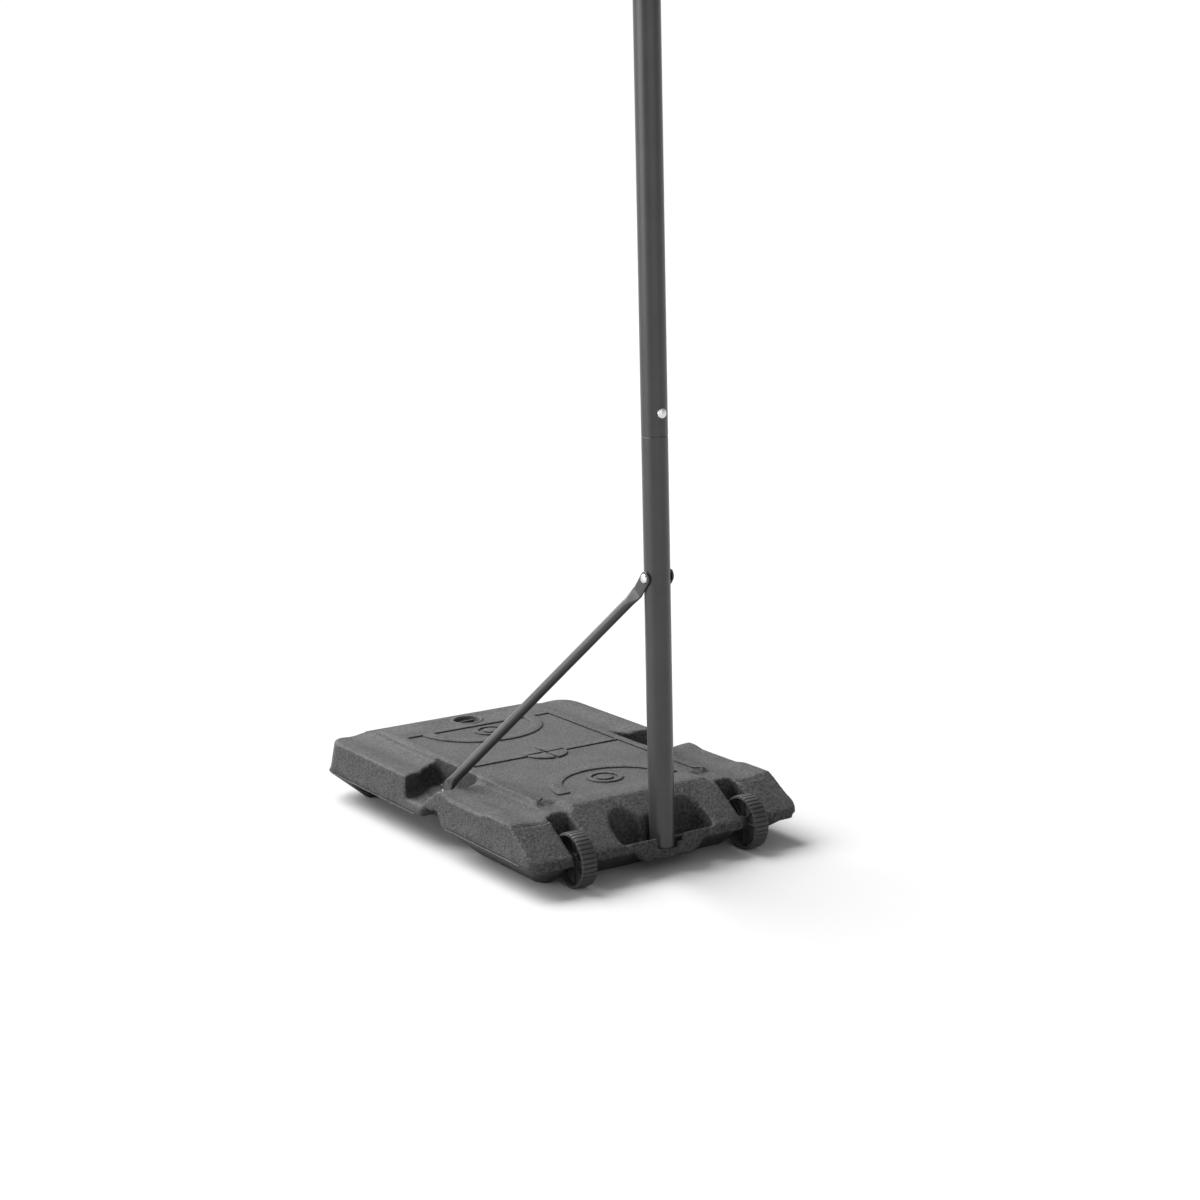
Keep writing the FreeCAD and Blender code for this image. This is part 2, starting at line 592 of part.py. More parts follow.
def strut(side, sign):
    top, foot, run = strut_points(sign)
    name = "strut_" + side
    top_reach = val("tab_top_length") - val("tab_top_lap")
    foot_reach = val("tab_foot_length") - val("tab_foot_lap")
    plug = val("tube_plug")
    start = top + run * top_reach + X_AXIS * (sign * val("tube_top_shift"))
    finish = foot - run * foot_reach - X_AXIS * (sign * val("tube_foot_shift"))
    line = finish - start
    tube = cylinder(name + "_tube", "strut_radius", "%g" % line.Length, start, line)
    bore = cylinder(name + "_hollow", "strut_radius - strut_wall", "%g" % (line.Length - 2 * plug),
                    start + line * (plug / line.Length), line)
    eyes = [eye(name + "_top", top, run, "tab_top_length"),
            eye(name + "_foot", foot, run * -1, "tab_foot_length")]
    body = join(name + "_form", [cut(name + "_shell", tube, [bore])] + eyes, refine=False)
    holes = [bolt_hole(name + "_hole_" + place, spot, X_AXIS)
             for place, spot in (("top", top), ("foot", foot))]
    drilled = cut(name + "_drilled", body, holes)
    drilled.Refine = False
    node(drilled, name)


def strut_top_bolt():
    seat = val("strut_top_x") + val("tab_thick") / 2
    node(dome_bolt("top_bolt", at(-seat, 0, val("strut_bolt_z")), X_AXIS,
                   "2 * strut_top_x + tab_thick + bolt_tail"), "strut_top_bolt")
    node(hex_nut("top_nut", at(seat, 0, val("strut_bolt_z")), X_AXIS), "strut_top_nut")


def strut_foot(side, sign):
    """The steel foot bracket on the tank's ledge, with its bolt, nut and screws."""
    foot = strut_points(sign)[1]
    thick, half = val("foot_plate_thick"), val("foot_plate_half")
    ledge = val("ledge_height")
    ear_x = foot.x - sign * (val("tab_thick") / 2)
    low_x = ear_x - thick if sign > 0 else ear_x
    ear = box("ear_" + side, "foot_plate_thick", "2 * foot_plate_half", "foot_plate_back",
              Vector(low_x, foot.y - half, ledge))
    flange_x = low_x - val("foot_flange") if sign > 0 else low_x
    flange = box("flange_" + side, "foot_flange + foot_plate_thick", "2 * foot_plate_half",
                 "foot_plate_thick", Vector(flange_x, foot.y - half, ledge))
    hole = bolt_hole("ear_hole_" + side, foot, X_AXIS)
    node(cut("foot_bracket_" + side, join("bracket_form_" + side, [ear, flange]), [hole]),
         "strut_bracket_" + side)
    outward = X_AXIS * sign
    seat = Vector(foot.x + sign * val("tab_thick") / 2, foot.y, foot.z)
    node(dome_bolt("foot_bolt_" + side, seat, outward * -1, "tab_thick + foot_plate_thick + bolt_tail"),
         "strut_foot_bolt_" + side)
    back = Vector(ear_x - sign * thick, foot.y, foot.z)
    node(hex_nut("foot_nut_" + side, back, outward * -1), "strut_foot_nut_" + side)


# ---------------------------------------------------------------- backboard

def plate_xz(name, half_x, size_y, size_z, front, bottom):
    """An upright plate centred on x = 0."""
    return box(name, "2 * " + half_x, size_y, size_z, at(-val(half_x), front, bottom))


def backboard():
    face, thick = val("board_face"), val("panel_thick")
    bottom = val("board_bottom")
    panel = plate_xz("panel", "board_half_width", "panel_thick", "board_height", face, bottom)
    holes = [bolt_hole("panel_hole_%d" % index, spot, Y_AXIS)
             for index, spot in enumerate(rim_bolt_spots())]
    node(cut("panel_drilled", panel, holes), "backboard_panel")
    back = face + thick
    outer = plate_xz("frame_block", "board_half_width", "frame_depth", "board_height", back, bottom)
    inner = val("centre_bar_x") + val("frame_bar") / 2
    wide = val("board_half_width") - val("frame_width") - inner
    start = back - val("reach_edge")
    windows = []
    for side, sign in SIDES:
        low_x = inner if sign > 0 else -inner - wide
        windows.append(box("frame_window_" + side, "%g" % wide, "reach", "board_height - 2 * frame_width",
                           at(low_x, start, bottom + val("frame_width"))))
    gap, bar = val("centre_bar_x") - val("frame_bar") / 2, val("centre_bar_z")
    low_z, high_z = val("bracket_low_z"), val("bracket_high_z")
    top = bottom + val("board_height") - val("frame_width")
    heights = [(val("rim_z") + val("rim_bar_top"), low_z - bar), (low_z + bar, high_z - bar),
               (high_z + bar, top)]
    for index, (low, high) in enumerate(heights):
        windows.append(box("centre_window_%d" % index, "%g" % (2 * gap), "reach", "%g" % (high - low),
                           at(-gap, start, low)))
    bolt_holes = [bolt_hole("frame_hole_%d" % index, spot, Y_AXIS)
                  for index, spot in enumerate(board_bolt_spots() + rim_bolt_spots())]
    node(cut("frame_open", outer, windows + bolt_holes), "backboard_frame")


def target_square():
    """The painted shooter's square, as a thin raised outline on the panel."""
    front = val("board_face") - val("line_thick")
    bottom, line, edge = val("square_bottom"), val("square_line"), val("reach_edge")
    outer = plate_xz("square_outer", "square_half_width", "line_thick", "square_height", front, bottom)
    inner = box("square_inner", "2 * (square_half_width - square_line)", "2 * reach_edge",
                "square_height - 2 * square_line",
                at(-val("square_half_width") + line, front - edge, bottom + line))
    clear = box("square_clear", "2 * rim_plate_half + 2 * square_gap", "2 * reach_edge",
                "square_line + 2 * reach_edge",
                at(-val("rim_plate_half") - val("square_gap"), front - edge, bottom - edge))
    node(cut("square", outer, [inner, clear]), "target_square")


def board_bolt_spots():
    """Bolt centres on the frame's back, two beside each bracket."""
    back = val("board_face") + val("panel_thick") + val("frame_depth")
    return [at(sign * val("board_bolt_x"), back, val("bracket_%s_z" % level))
            for level in ("low", "high") for side, sign in SIDES]


def board_bracket(level):
    """A steel bracket: two cheeks that hold the upper pole, on a flange bolted to the board's frame."""
    z = val("bracket_%s_z" % level)
    low = z - val("bracket_height") / 2
    back = val("board_face") + val("panel_thick") + val("frame_depth")
    flange = plate_xz("bracket_flange_" + level, "bracket_flange", "bracket_plate", "bracket_height",
                      back, low)
    cheeks = []
    for side, sign in SIDES:
        inner = val("mast_radius")
        low_x = inner if sign > 0 else -inner - val("bracket_plate")
        cheeks.append(box("cheek_%s_%s" % (level, side), "bracket_plate", "%g" % (val("bracket_back") - back),
                          "bracket_height", at(low_x, back, low)))
    holes = [bolt_hole("bracket_cross_hole_" + level, at(0, 0, z), X_AXIS)]
    holes += [bolt_hole("bracket_hole_%s_%d" % (level, index), spot, Y_AXIS)
              for index, spot in enumerate(board_bolt_spots()) if abs(spot.z - z) < 1]
    node(cut("bracket_" + level, join("bracket_form_" + level, [flange] + cheeks), holes),
         {"low": "lower_board_bracket", "high": "upper_board_bracket"}[level])


def board_fasteners():
    """Cross bolts through the pole, and the bolts that hold the brackets to the frame."""
    outer = val("mast_radius") + val("bracket_plate")
    crosses, nuts = [], []
    for level in ("low", "high"):
        z = val("bracket_%s_z" % level)
        crosses.append(dome_bolt("cross_bolt_" + level, at(-outer, 0, z), X_AXIS,
                                 "2 * mast_radius + 2 * bracket_plate + bolt_tail"))
        nuts.append(hex_nut("cross_nut_" + level, at(outer, 0, z), X_AXIS))
    node(group("cross_bolts", crosses), "bracket_cross_bolts")
    node(group("cross_nuts", nuts), "bracket_cross_nuts")
    plate = val("bracket_plate")
    bolts = [dome_bolt("board_bolt_%d" % index, spot + Y_AXIS * plate, Y_AXIS * -1, "frame_depth")
             for index, spot in enumerate(board_bolt_spots())]
    node(group("frame_bolts", bolts), "board_bolts")


# ---------------------------------------------------------------- rim

def rim_bolt_spots():
    """Four bolt centres on the board's face, on a rectangle."""
    face = val("board_face")
    middle = (val("rim_mount_bottom") + val("rim_z")) / 2
    return [at(sx * val("rim_bolt_x"), face, middle + sz * val("rim_bolt_z"))
            for sx in (-1, 1) for sz in (-1, 1)]


def rim_centre():
    return at(0, val("board_face") - val("rim_reach"), val("rim_z"))


def rim_ring():
    thing = doc.addObject("Part::Torus", "rim_torus")
    bind(thing, Radius1="rim_inner + rim_rod", Radius2="rim_rod")
    thing.Placement = Placement(rim_centre(), Rotation())
    node(thing, "rim_ring")


def rim_bracket():
    """The rim's steel bracket: a plate bolted to the board and a shelf under the ring."""
    face, plate = val("board_face"), val("rim_plate")
    shelf_z = val("rim_z") - val("rim_rod") - plate
    upright = plate_xz("rim_upright", "rim_plate_half", "rim_plate", "rim_z - rim_rod - rim_mount_bottom",
                       face - plate, val("rim_mount_bottom"))
    depth = val("rim_reach") - val("rim_inner") + val("shelf_lap")
    shelf = plate_xz("rim_shelf", "rim_shelf_half", "%g" % depth, "rim_plate", face - depth, shelf_z)
    holes = [bolt_hole("rim_hole_%d" % index, spot, Y_AXIS)
             for index, spot in enumerate(rim_bolt_spots())]
    node(cut("rim_plate_drilled", join("rim_plate_form", [upright, shelf]), holes), "rim_bracket")


def rim_brace(side, sign):
    """A round rod from the rim's bracket to the underside of the ring."""
    start = at(sign * val("brace_foot_x"), val("board_face") - val("rim_plate"), val("brace_foot_z"))
    angle = math.radians(val("brace_angle"))
    radius = val("rim_inner") + val("rim_rod")
    end = rim_centre() + Vector(sign * radius * math.cos(angle), radius * math.sin(angle),
                                -val("rim_rod") - val("brace_drop"))
    line = end - start
    node(cylinder("brace_" + side, "brace_radius", "%g" % line.Length, start, line), "rim_brace_" + side)


def net_hooks():
    """Wire loops spaced around the underside of the ring, which carry the net."""
    loops = []
    radius = val("rim_inner") + val("rim_rod")
    for index in range(int(val("hook_count"))):
        angle = math.radians(360 * (index + 0.5) / val("hook_count"))
        loop = doc.addObject("Part::Torus", "hook_%d" % index)
        bind(loop, Radius1="hook_radius", Radius2="hook_rod")
        spot = rim_centre() + Vector(radius * math.cos(angle), radius * math.sin(angle),
                                     val("hook_sink") - val("rim_rod") - val("hook_radius"))
        loop.Placement = Placement(spot, pointing(Vector(math.cos(angle), math.sin(angle), 0)))
        loops.append(loop)
    node(group("hooks", loops), "net_hooks")


def rim_fasteners():
    depth = "rim_plate + panel_thick + frame_depth + bolt_tail"
    back = val("panel_thick") + val("frame_depth")
    bolts, nuts = [], []
    for index, spot in enumerate(rim_bolt_spots()):
        bolts.append(dome_bolt("rim_bolt_%d" % index, spot - Y_AXIS * val("rim_plate"), Y_AXIS, depth))
        nuts.append(hex_nut("rim_nut_%d" % index, spot + Y_AXIS * back, Y_AXIS))
    node(group("rim_bolt_set", bolts), "rim_bolts")
    node(group("rim_nut_set", nuts), "rim_nuts")


def net():
    """The net's envelope: a thin tapering sleeve, open at both ends."""
    centre = rim_centre()
    start = Vector(centre.x, centre.y, val("net_top") - val("net_height"))
    skins = []
    for name, inset in (("net_outside", "0"), ("net_inside", "net_thick")):
        cone = doc.addObject("Part::Cone", name)
        bind(cone, Radius1="net_bottom_radius - " + inset, Radius2="net_top_radius - " + inset,
             Height="net_height")
        cone.Placement = Placement(start, Rotation())
        skins.append(cone)
    node(cut("net_sleeve", skins[0], [skins[1]]), "net")


base_tank()
ballast()
filler_cap()
for wheel_side, wheel_sign in SIDES:
    wheel(wheel_side, wheel_sign)
axle()
lower_pole()
middle_pole()
pole_joint_bolt()
upper_pole()
collar()
clamp_knob()
for strut_side, strut_sign in SIDES:
    strut(strut_side, strut_sign)
    strut_foot(strut_side, strut_sign)
strut_top_bolt()
backboard()
target_square()
for bracket_level in ("low", "high"):
    board_bracket(bracket_level)
board_fasteners()
rim_ring()
rim_bracket()
for brace_side, brace_sign in SIDES:
    rim_brace(brace_side, brace_sign)
net_hooks()
rim_fasteners()
net()

doc.recompute()
for thing in doc.Objects:
    if "Invalid" in thing.State or "Error" in thing.State:
        raise RuntimeError("%s failed: %s" % (thing.Name, thing.State))
os.makedirs("parts", exist_ok=True)
for thing in nodes:
    if thing.Shape.isNull() or not thing.Shape.isValid() or not thing.Shape.Solids:
        raise RuntimeError(thing.Label + " has no valid solid")
for thing in nodes:
    thing.Shape.exportStep("parts/%s.step" % thing.Label)
    extent = thing.Shape.BoundBox
    print("%-24s %d solid(s) %9.1f cm3  z %7.1f .. %7.1f" % (thing.Label, len(thing.Shape.Solids),
                                                       thing.Shape.Volume / 1000, extent.ZMin, extent.ZMax))
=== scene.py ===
import math

import bmesh
import bpy
from mathutils import Matrix, Vector


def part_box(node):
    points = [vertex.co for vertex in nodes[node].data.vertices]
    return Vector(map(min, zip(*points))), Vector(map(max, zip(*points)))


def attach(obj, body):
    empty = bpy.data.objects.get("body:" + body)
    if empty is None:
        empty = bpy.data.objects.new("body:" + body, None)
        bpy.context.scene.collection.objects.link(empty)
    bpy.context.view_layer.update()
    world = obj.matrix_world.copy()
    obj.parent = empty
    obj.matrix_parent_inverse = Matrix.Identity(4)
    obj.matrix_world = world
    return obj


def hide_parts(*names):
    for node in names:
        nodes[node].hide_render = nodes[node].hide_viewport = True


# Portable basketball hoop: moulded base, braced pole, telescoping mast, backboard, rim and net.
# Metres, +Z up, the court towards -Y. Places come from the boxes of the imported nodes, or are given
# from the pole's axis.

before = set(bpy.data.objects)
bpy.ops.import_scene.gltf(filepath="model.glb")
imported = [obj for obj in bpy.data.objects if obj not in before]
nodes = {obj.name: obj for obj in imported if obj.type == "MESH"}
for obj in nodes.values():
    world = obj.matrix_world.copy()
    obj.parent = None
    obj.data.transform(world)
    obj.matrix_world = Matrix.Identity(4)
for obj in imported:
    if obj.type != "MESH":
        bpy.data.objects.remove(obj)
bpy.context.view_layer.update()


# ---------------------------------------------------------------- places from the frame

def middle(node):
    low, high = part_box(node)
    return (low + high) / 2


POLE_Y = middle("lower_pole").y
POLE_R = (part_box("lower_pole")[1].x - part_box("lower_pole")[0].x) / 2
MAST_R = (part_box("upper_pole")[1].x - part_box("upper_pole")[0].x) / 2
TUBE_WALL = 0.0016
DECK_Z = 0.189          # top of the tank
LINE_HEIGHT = 0.0038    # the court's lines over its floor
FILL_Y = 1.064          # the fill opening, behind the pole's axis
RIM_CENTRE = middle("rim_ring")
LOOPS = 12              # of the net, and the hooks that hold them


def at(x, y, z):
    """A point given from the pole's axis."""
    return Vector((x, y + POLE_Y, z))


# ---------------------------------------------------------------- materials

def shader(name, colour, roughness, metallic=0.0, coat=0.0):
    """A material with its nodes, ready for detail."""
    made = bpy.data.materials.new(name)
    made.use_nodes = True
    surface = made.node_tree.nodes["Principled BSDF"]
    surface.inputs["Base Color"].default_value = (*colour, 1)
    surface.inputs["Roughness"].default_value = roughness
    surface.inputs["Metallic"].default_value = metallic
    surface.inputs["Coat Weight"].default_value = coat
    return made, surface


def add(made, kind, **inputs):
    """A node of a kind, with its inputs set by name."""
    item = made.node_tree.nodes.new(kind)
    for key, value in inputs.items():
        item.inputs[key.replace("_", " ")].default_value = value
    return item


def link(made, source, out, target, into):
    made.node_tree.links.new(source.outputs[out], target.inputs[into])


def place_of(made):
    return add(made, "ShaderNodeTexCoord")


def noise_at(made, place, scale, detail=2.0, rough=0.5, stretch=None):
    """Noise over the object's own metres; stretch scales each axis where it is given."""
    grain = add(made, "ShaderNodeTexNoise", Scale=scale, Detail=detail, Roughness=rough)
    if stretch:
        mapping = add(made, "ShaderNodeMapping")
        mapping.inputs["Scale"].default_value = stretch
        link(made, place, "Object", mapping, "Vector")
        link(made, mapping, "Vector", grain, "Vector")
    else:
        link(made, place, "Object", grain, "Vector")
    return grain


def ramp(made, source, stops, out="Fac"):
    """A colour ramp after a value: stops are (position, grey or colour)."""
    item = made.node_tree.nodes.new("ShaderNodeValToRGB")
    for index, (position, tone) in enumerate(stops):
        element = item.color_ramp.elements[index] if index < 2 else item.color_ramp.elements.new(position)
        element.position = position
        element.color = (tone, tone, tone, 1) if isinstance(tone, float) else (*tone, 1)
    link(made, source, out, item, "Fac")
    return item


def spread(made, source, low, high, out="Fac"):
    """Map a 0 to 1 value to a range."""
    item = made.node_tree.nodes.new("ShaderNodeMapRange")
    item.inputs["To Min"].default_value = low
    item.inputs["To Max"].default_value = high
    link(made, source, out, item, "Value")
    return item


def bump(made, surface, height, out, strength, distance, after=None):
    item = add(made, "ShaderNodeBump", Strength=strength, Distance=distance)
    link(made, height, out, item, "Height")
    if after:
        link(made, after, "Normal", item, "Normal")
    link(made, item, "Normal", surface, "Normal")
    return item


def tinted(made, surface, field, dark, light, out="Fac", stops=(0.3, 0.7)):
    """Vary the base colour between two tones over a field."""
    tones = ramp(made, field, [(stops[0], dark), (stops[1], light)], out)
    link(made, tones, "Color", surface, "Base Color")


def rubbed(made, surface, field, low, high):
    """Vary the roughness between two values over a field."""
    varied = spread(made, field, low, high)
    link(made, varied, "Result", surface, "Roughness")


def moulded_plastic(name, dark, light, roughness, grain_scale, grain_depth):
    """Polyethylene with a pebbled mould grain, fine specks, faint mottling and an uneven gloss."""
    made, surface = shader(name, light, roughness)
    place = place_of(made)
    mottle_share = 0.2
    mottle = noise_at(made, place, 9.0, 4.0, 0.6)
    specks = noise_at(made, place, grain_scale * 0.5, 3.0, 0.65)
    field = add(made, "ShaderNodeMath")
    field.operation = "MULTIPLY_ADD"
    field.inputs[1].default_value = 1 - mottle_share
    link(made, specks, "Fac", field, 0)
    share = spread(made, mottle, 0.0, mottle_share)
    link(made, share, "Result", field, 2)
    tinted(made, surface, field, dark, light, "Value", (0.36, 0.64))
    pebbles = add(made, "ShaderNodeTexVoronoi", Scale=grain_scale)
    link(made, place, "Object", pebbles, "Vector")
    fine = noise_at(made, place, grain_scale * 1.7, 3.0, 0.6)
    first = bump(made, surface, pebbles, "Distance", 0.55, grain_depth)
    bump(made, surface, fine, "Fac", 0.35, grain_depth, first)
    patches = noise_at(made, place, 26.0, 3.0, 0.65)
    rubbed(made, surface, patches, roughness - 0.07, roughness + 0.09)
    surface.inputs["IOR"].default_value = 1.48
    surface.inputs["Specular IOR Level"].default_value = 0.22
    return made


def powder_coat(name, dark, light, roughness):
    """Satin powder coat: orange peel, fine texture and slight cloudiness."""
    made, surface = shader(name, light, roughness)
    place = place_of(made)
    cloud = noise_at(made, place, 14.0, 3.0, 0.5)
    tinted(made, surface, cloud, dark, light)
    peel = noise_at(made, place, 420.0, 2.0, 0.5)
    speck = noise_at(made, place, 1500.0, 2.0, 0.6)
    first = bump(made, surface, peel, "Fac", 0.22, 0.0004)
    bump(made, surface, speck, "Fac", 0.12, 0.0002, first)
    drift = noise_at(made, place, 40.0, 3.0, 0.6)
    rubbed(made, surface, drift, roughness - 0.05, roughness + 0.06)
    return made


def zinc_plate(name):
    """Bright zinc: brushed, spangled and a little dull in patches."""
    made, surface = shader(name, (0.62, 0.64, 0.65), 0.28, metallic=1.0)
    place = place_of(made)
    spangle = add(made, "ShaderNodeTexVoronoi", Scale=420.0)
    link(made, place, "Object", spangle, "Vector")
    tinted(made, surface, spangle, (0.50, 0.53, 0.55), (0.78, 0.80, 0.81), "Distance")
    worn = noise_at(made, place, 260.0, 3.0, 0.6)
    rubbed(made, surface, worn, 0.18, 0.42)
    scratches = noise_at(made, place, 700.0, 2.0, 0.5, (1.0, 0.15, 1.0))
    bump(made, surface, scratches, "Fac", 0.25, 0.0002)
    return made


def rubber_black(name):
    made, surface = shader(name, (0.02, 0.02, 0.02), 0.7)
    place = place_of(made)
    dust = noise_at(made, place, 60.0, 4.0, 0.6)
    tinted(made, surface, dust, (0.014, 0.014, 0.014), (0.035, 0.034, 0.033))
    skin = noise_at(made, place, 900.0, 2.0, 0.6)
    bump(made, surface, skin, "Fac", 0.3, 0.0003)
    return made


def board_sheet(name):
    """Pale moulded acrylic: glossy, faintly cloudy, with fine handling scratches."""
    made, surface = shader(name, (0.78, 0.80, 0.82), 0.16, coat=0.25)
    place = place_of(made)
    haze = noise_at(made, place, 5.0, 3.0, 0.5)
    tinted(made, surface, haze, (0.72, 0.745, 0.77), (0.82, 0.835, 0.85))
    wipes = noise_at(made, place, 50.0, 4.0, 0.7, (1.0, 1.0, 0.2))
    rubbed(made, surface, wipes, 0.10, 0.26)
    ripple = noise_at(made, place, 7.0, 1.0, 0.4)
    bump(made, surface, ripple, "Fac", 0.08, 0.002)
    return made


def printed_paint(name, dark, light):
    """Screen-printed marking, slightly uneven in its colour and its gloss."""
    made, surface = shader(name, light, 0.35)
    place = place_of(made)
    ink = noise_at(made, place, 70.0, 4.0, 0.6)
    tinted(made, surface, ink, dark, light)
    grain = noise_at(made, place, 900.0, 2.0, 0.5)
    bump(made, surface, grain, "Fac", 0.1, 0.0002)
    rubbed(made, surface, ink, 0.28, 0.46)
    return made


def net_cord(name):
    """White braided nylon: a fine slanting plait, with painted shade in its hollows and a lighter tone on its
    crests.
    """
    made, surface = shader(name, (0.82, 0.82, 0.79), 0.75)
    place = place_of(made)
    plait = add(made, "ShaderNodeTexWave", Scale=260.0, Distortion=2.5, Detail=2.0)
    plait.bands_direction = "DIAGONAL"
    link(made, place, "Object", plait, "Vector")
    # Painted shade: the colour follows the plait's wave, darker in its hollows and lighter on its crests.
    tinted(made, surface, plait, (0.60, 0.595, 0.57), (0.86, 0.86, 0.84))
    bump(made, surface, plait, "Fac", 0.6, 0.0006)
    surface.inputs["Sheen Weight"].default_value = 0.25
    return made


TANK = moulded_plastic("tank_plastic", (0.012, 0.0116, 0.0117), (0.060, 0.0578, 0.0584), 0.62, 260.0, 0.0030)
WHEEL = moulded_plastic("wheel_plastic", (0.028, 0.0268, 0.0264), (0.046, 0.044, 0.0434), 0.45, 900.0, 0.0004)
FITTING = moulded_plastic("fitting_plastic", (0.02, 0.02, 0.02), (0.03, 0.03, 0.031), 0.45, 700.0, 0.0005)
FRAME_PLASTIC = moulded_plastic("frame_plastic", (0.026, 0.026, 0.028), (0.038, 0.038, 0.04), 0.5,
                                600.0, 0.0006)
COAT = powder_coat("powder_coat", (0.022, 0.0215, 0.023), (0.029, 0.028, 0.030), 0.34)
BLACK_STEEL = powder_coat("black_steel", (0.012, 0.012, 0.012), (0.02, 0.02, 0.02), 0.35)
RIM_PAINT = powder_coat("rim_paint", (0.62, 0.10, 0.018), (0.78, 0.15, 0.03), 0.35)
ZINC = zinc_plate("zinc_steel")
RUBBER = rubber_black("soft_rubber")
BOARD = board_sheet("board_panel")
MARKING = printed_paint("board_marking", (0.55, 0.035, 0.02), (0.68, 0.06, 0.03))
NET = net_cord("net_cord")


# ---------------------------------------------------------------- mesh helpers

def piece(name, mesh, body, slot, material, *replaced, smooth=True):
    """Put a mesh in the scene as a finished piece riding on a body."""
    mesh.name = name
    made = bpy.data.objects.new(name, mesh)
    bpy.context.scene.collection.objects.link(made)
    mesh.materials.clear()
    mesh.materials.append(material)
    if smooth:
        mesh.shade_smooth()
    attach(made, body)
    if replaced:
        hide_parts(*replaced)
    return made


def mesh_of(points, faces):
    made = bpy.data.meshes.new("mesh")
    made.from_pydata([tuple(p) for p in points], [], faces)
    made.validate()
    return made


def applied(made):
    """Fix the modifiers of an object into its mesh."""
    bpy.context.view_layer.update()
    graph = bpy.context.evaluated_depsgraph_get()
    mesh = bpy.data.meshes.new_from_object(made.evaluated_get(graph))
    made.modifiers.clear()
    made.data = mesh


def crease(made, degrees=38):
    """Shade smooth, but keep edges sharper than an angle."""
    mesh = made.data
    mesh.shade_smooth()
    mesh.set_sharp_from_angle(angle=math.radians(degrees))


def bevel(made, width, segments=2, degrees=35):
    item = made.modifiers.new("bevel", "BEVEL")
    item.width = width
    item.segments = segments
    item.limit_method = "ANGLE"
    item.angle_limit = math.radians(degrees)
    return made


def frame_of(direction):
    """Two unit vectors square to a direction."""
    ahead = direction.normalized()
    side = ahead.cross(Vector((0, 0, 1)))
    if side.length < 1e-4:
        side = Vector((1, 0, 0))
    side.normalize()
    return side, side.cross(ahead).normalized()


def ring_faces(rings, count, closed=False):
    """Faces between neighbouring rings of points: closed rings join up, an open row of them is capped."""
    faces = []
    for step in range(rings if closed else rings - 1):
        here, there = step * count, (step + 1) % rings * count
        for index in range(count):
            after = (index + 1) % count
            faces.append((here + index, here + after, there + after, there + index))
    if not closed:
        faces += [tuple(range(count)), tuple(range((rings - 1) * count, rings * count))]
    return faces


def lathe(profile, centre, axis, segments=96, wave=None):
    """Turn a closed profile of (radius, distance along axis); wave changes a radius with its angle."""
    ahead = axis.normalized()
    side, up = frame_of(ahead)
    points = []
    for step in range(segments):
        angle = 2 * math.pi * step / segments
        out = side * math.cos(angle) + up * math.sin(angle)
        for index, (radius, along) in enumerate(profile):
            size = wave(index, radius, angle) if wave else radius
            points.append(centre + ahead * along + out * size)
    return tidy(mesh_of(points, ring_faces(segments, len(profile), closed=True)))


def tidy(mesh, merge=1e-6):
    """Merge what coincides, drop what has no area and turn the faces outwards."""
    work = bmesh.new()
    work.from_mesh(mesh)
    bmesh.ops.remove_doubles(work, verts=work.verts, dist=merge)
    bmesh.ops.dissolve_degenerate(work, edges=work.edges, dist=merge)
    bmesh.ops.recalc_face_normals(work, faces=work.faces)
    work.to_mesh(mesh)
    work.free()
    return mesh


def sweep(path, section, closed=False):
    """Carry a section, a list of (side, up) offsets, along a path of points."""
    points = []
    total = len(path)
    side = frame_of(path[1] - path[0])[0]
    for step, spot in enumerate(path):
        before = path[step - 1] if step or closed else path[0]
        after = path[(step + 1) % total] if step < total - 1 or closed else path[-1]
        ahead = (after - before).normalized()
        side = (side - ahead * side.dot(ahead)).normalized()
        up = side.cross(ahead)
        points.extend(spot + side * a + up * b for a, b in section)
    return tidy(mesh_of(points, ring_faces(total, len(section), closed)))


def round_section(radius, sides=16):
    turns = [2 * math.pi * k / sides for k in range(sides)]
    return [(radius * math.cos(turn), radius * math.sin(turn)) for turn in turns]


def merged(meshes):
    """Several meshes as one."""
    work = bmesh.new()
    for mesh in meshes:
        work.from_mesh(mesh)
    made = bpy.data.meshes.new("merged")
    work.to_mesh(made)
    work.free()
    return made


def arc_points(centre, radius, start, end, steps):
    """Points on an arc in plan, angles in degrees."""
    return [(centre[0] + radius * math.cos(math.radians(start + (end - start) * k / steps)),
             centre[1] + radius * math.sin(math.radians(start + (end - start) * k / steps)))
            for k in range(steps + 1)]


def loop_of(work, outline, z):
    """A closed loop of edges in plan, from points given from the pole's axis."""
    ring = [work.verts.new(at(x, y, z)) for x, y in outline]
    return [work.edges.new((ring[k - 1], ring[k])) for k in range(len(ring))]


def raised(outlines, base, height, soft, hole=()):
    """Flat shapes in plan raised from a level, with rounded upper edges; each may have one hole."""
    meshes = []
    for outline in outlines:
        work = bmesh.new()
        edges = loop_of(work, outline, base)
        if hole:
            edges += loop_of(work, hole, base)
        filled = bmesh.ops.triangle_fill(work, use_beauty=True, use_dissolve=False, edges=edges)
        faces = [f for f in filled["geom"] if isinstance(f, bmesh.types.BMFace)]
        grown = bmesh.ops.extrude_face_region(work, geom=faces)
        tops = [v for v in grown["geom"] if isinstance(v, bmesh.types.BMVert)]
        bmesh.ops.translate(work, verts=tops, vec=(0, 0, height))
        bmesh.ops.recalc_face_normals(work, faces=work.faces)
        rim_edges = [e for e in work.edges
                     if all(v.co.z > base + height / 2 for v in e.verts)
                     and e.calc_face_angle(0.0) > math.radians(60)]
        bmesh.ops.bevel(work, geom=rim_edges, offset=soft, segments=3, profile=0.5, affect="EDGES",
                        clamp_overlap=True)
        mesh = bpy.data.meshes.new("raised")
        work.to_mesh(mesh)
        work.free()
        meshes.append(mesh)
    return merged(meshes)


# ---------------------------------------------------------------- base

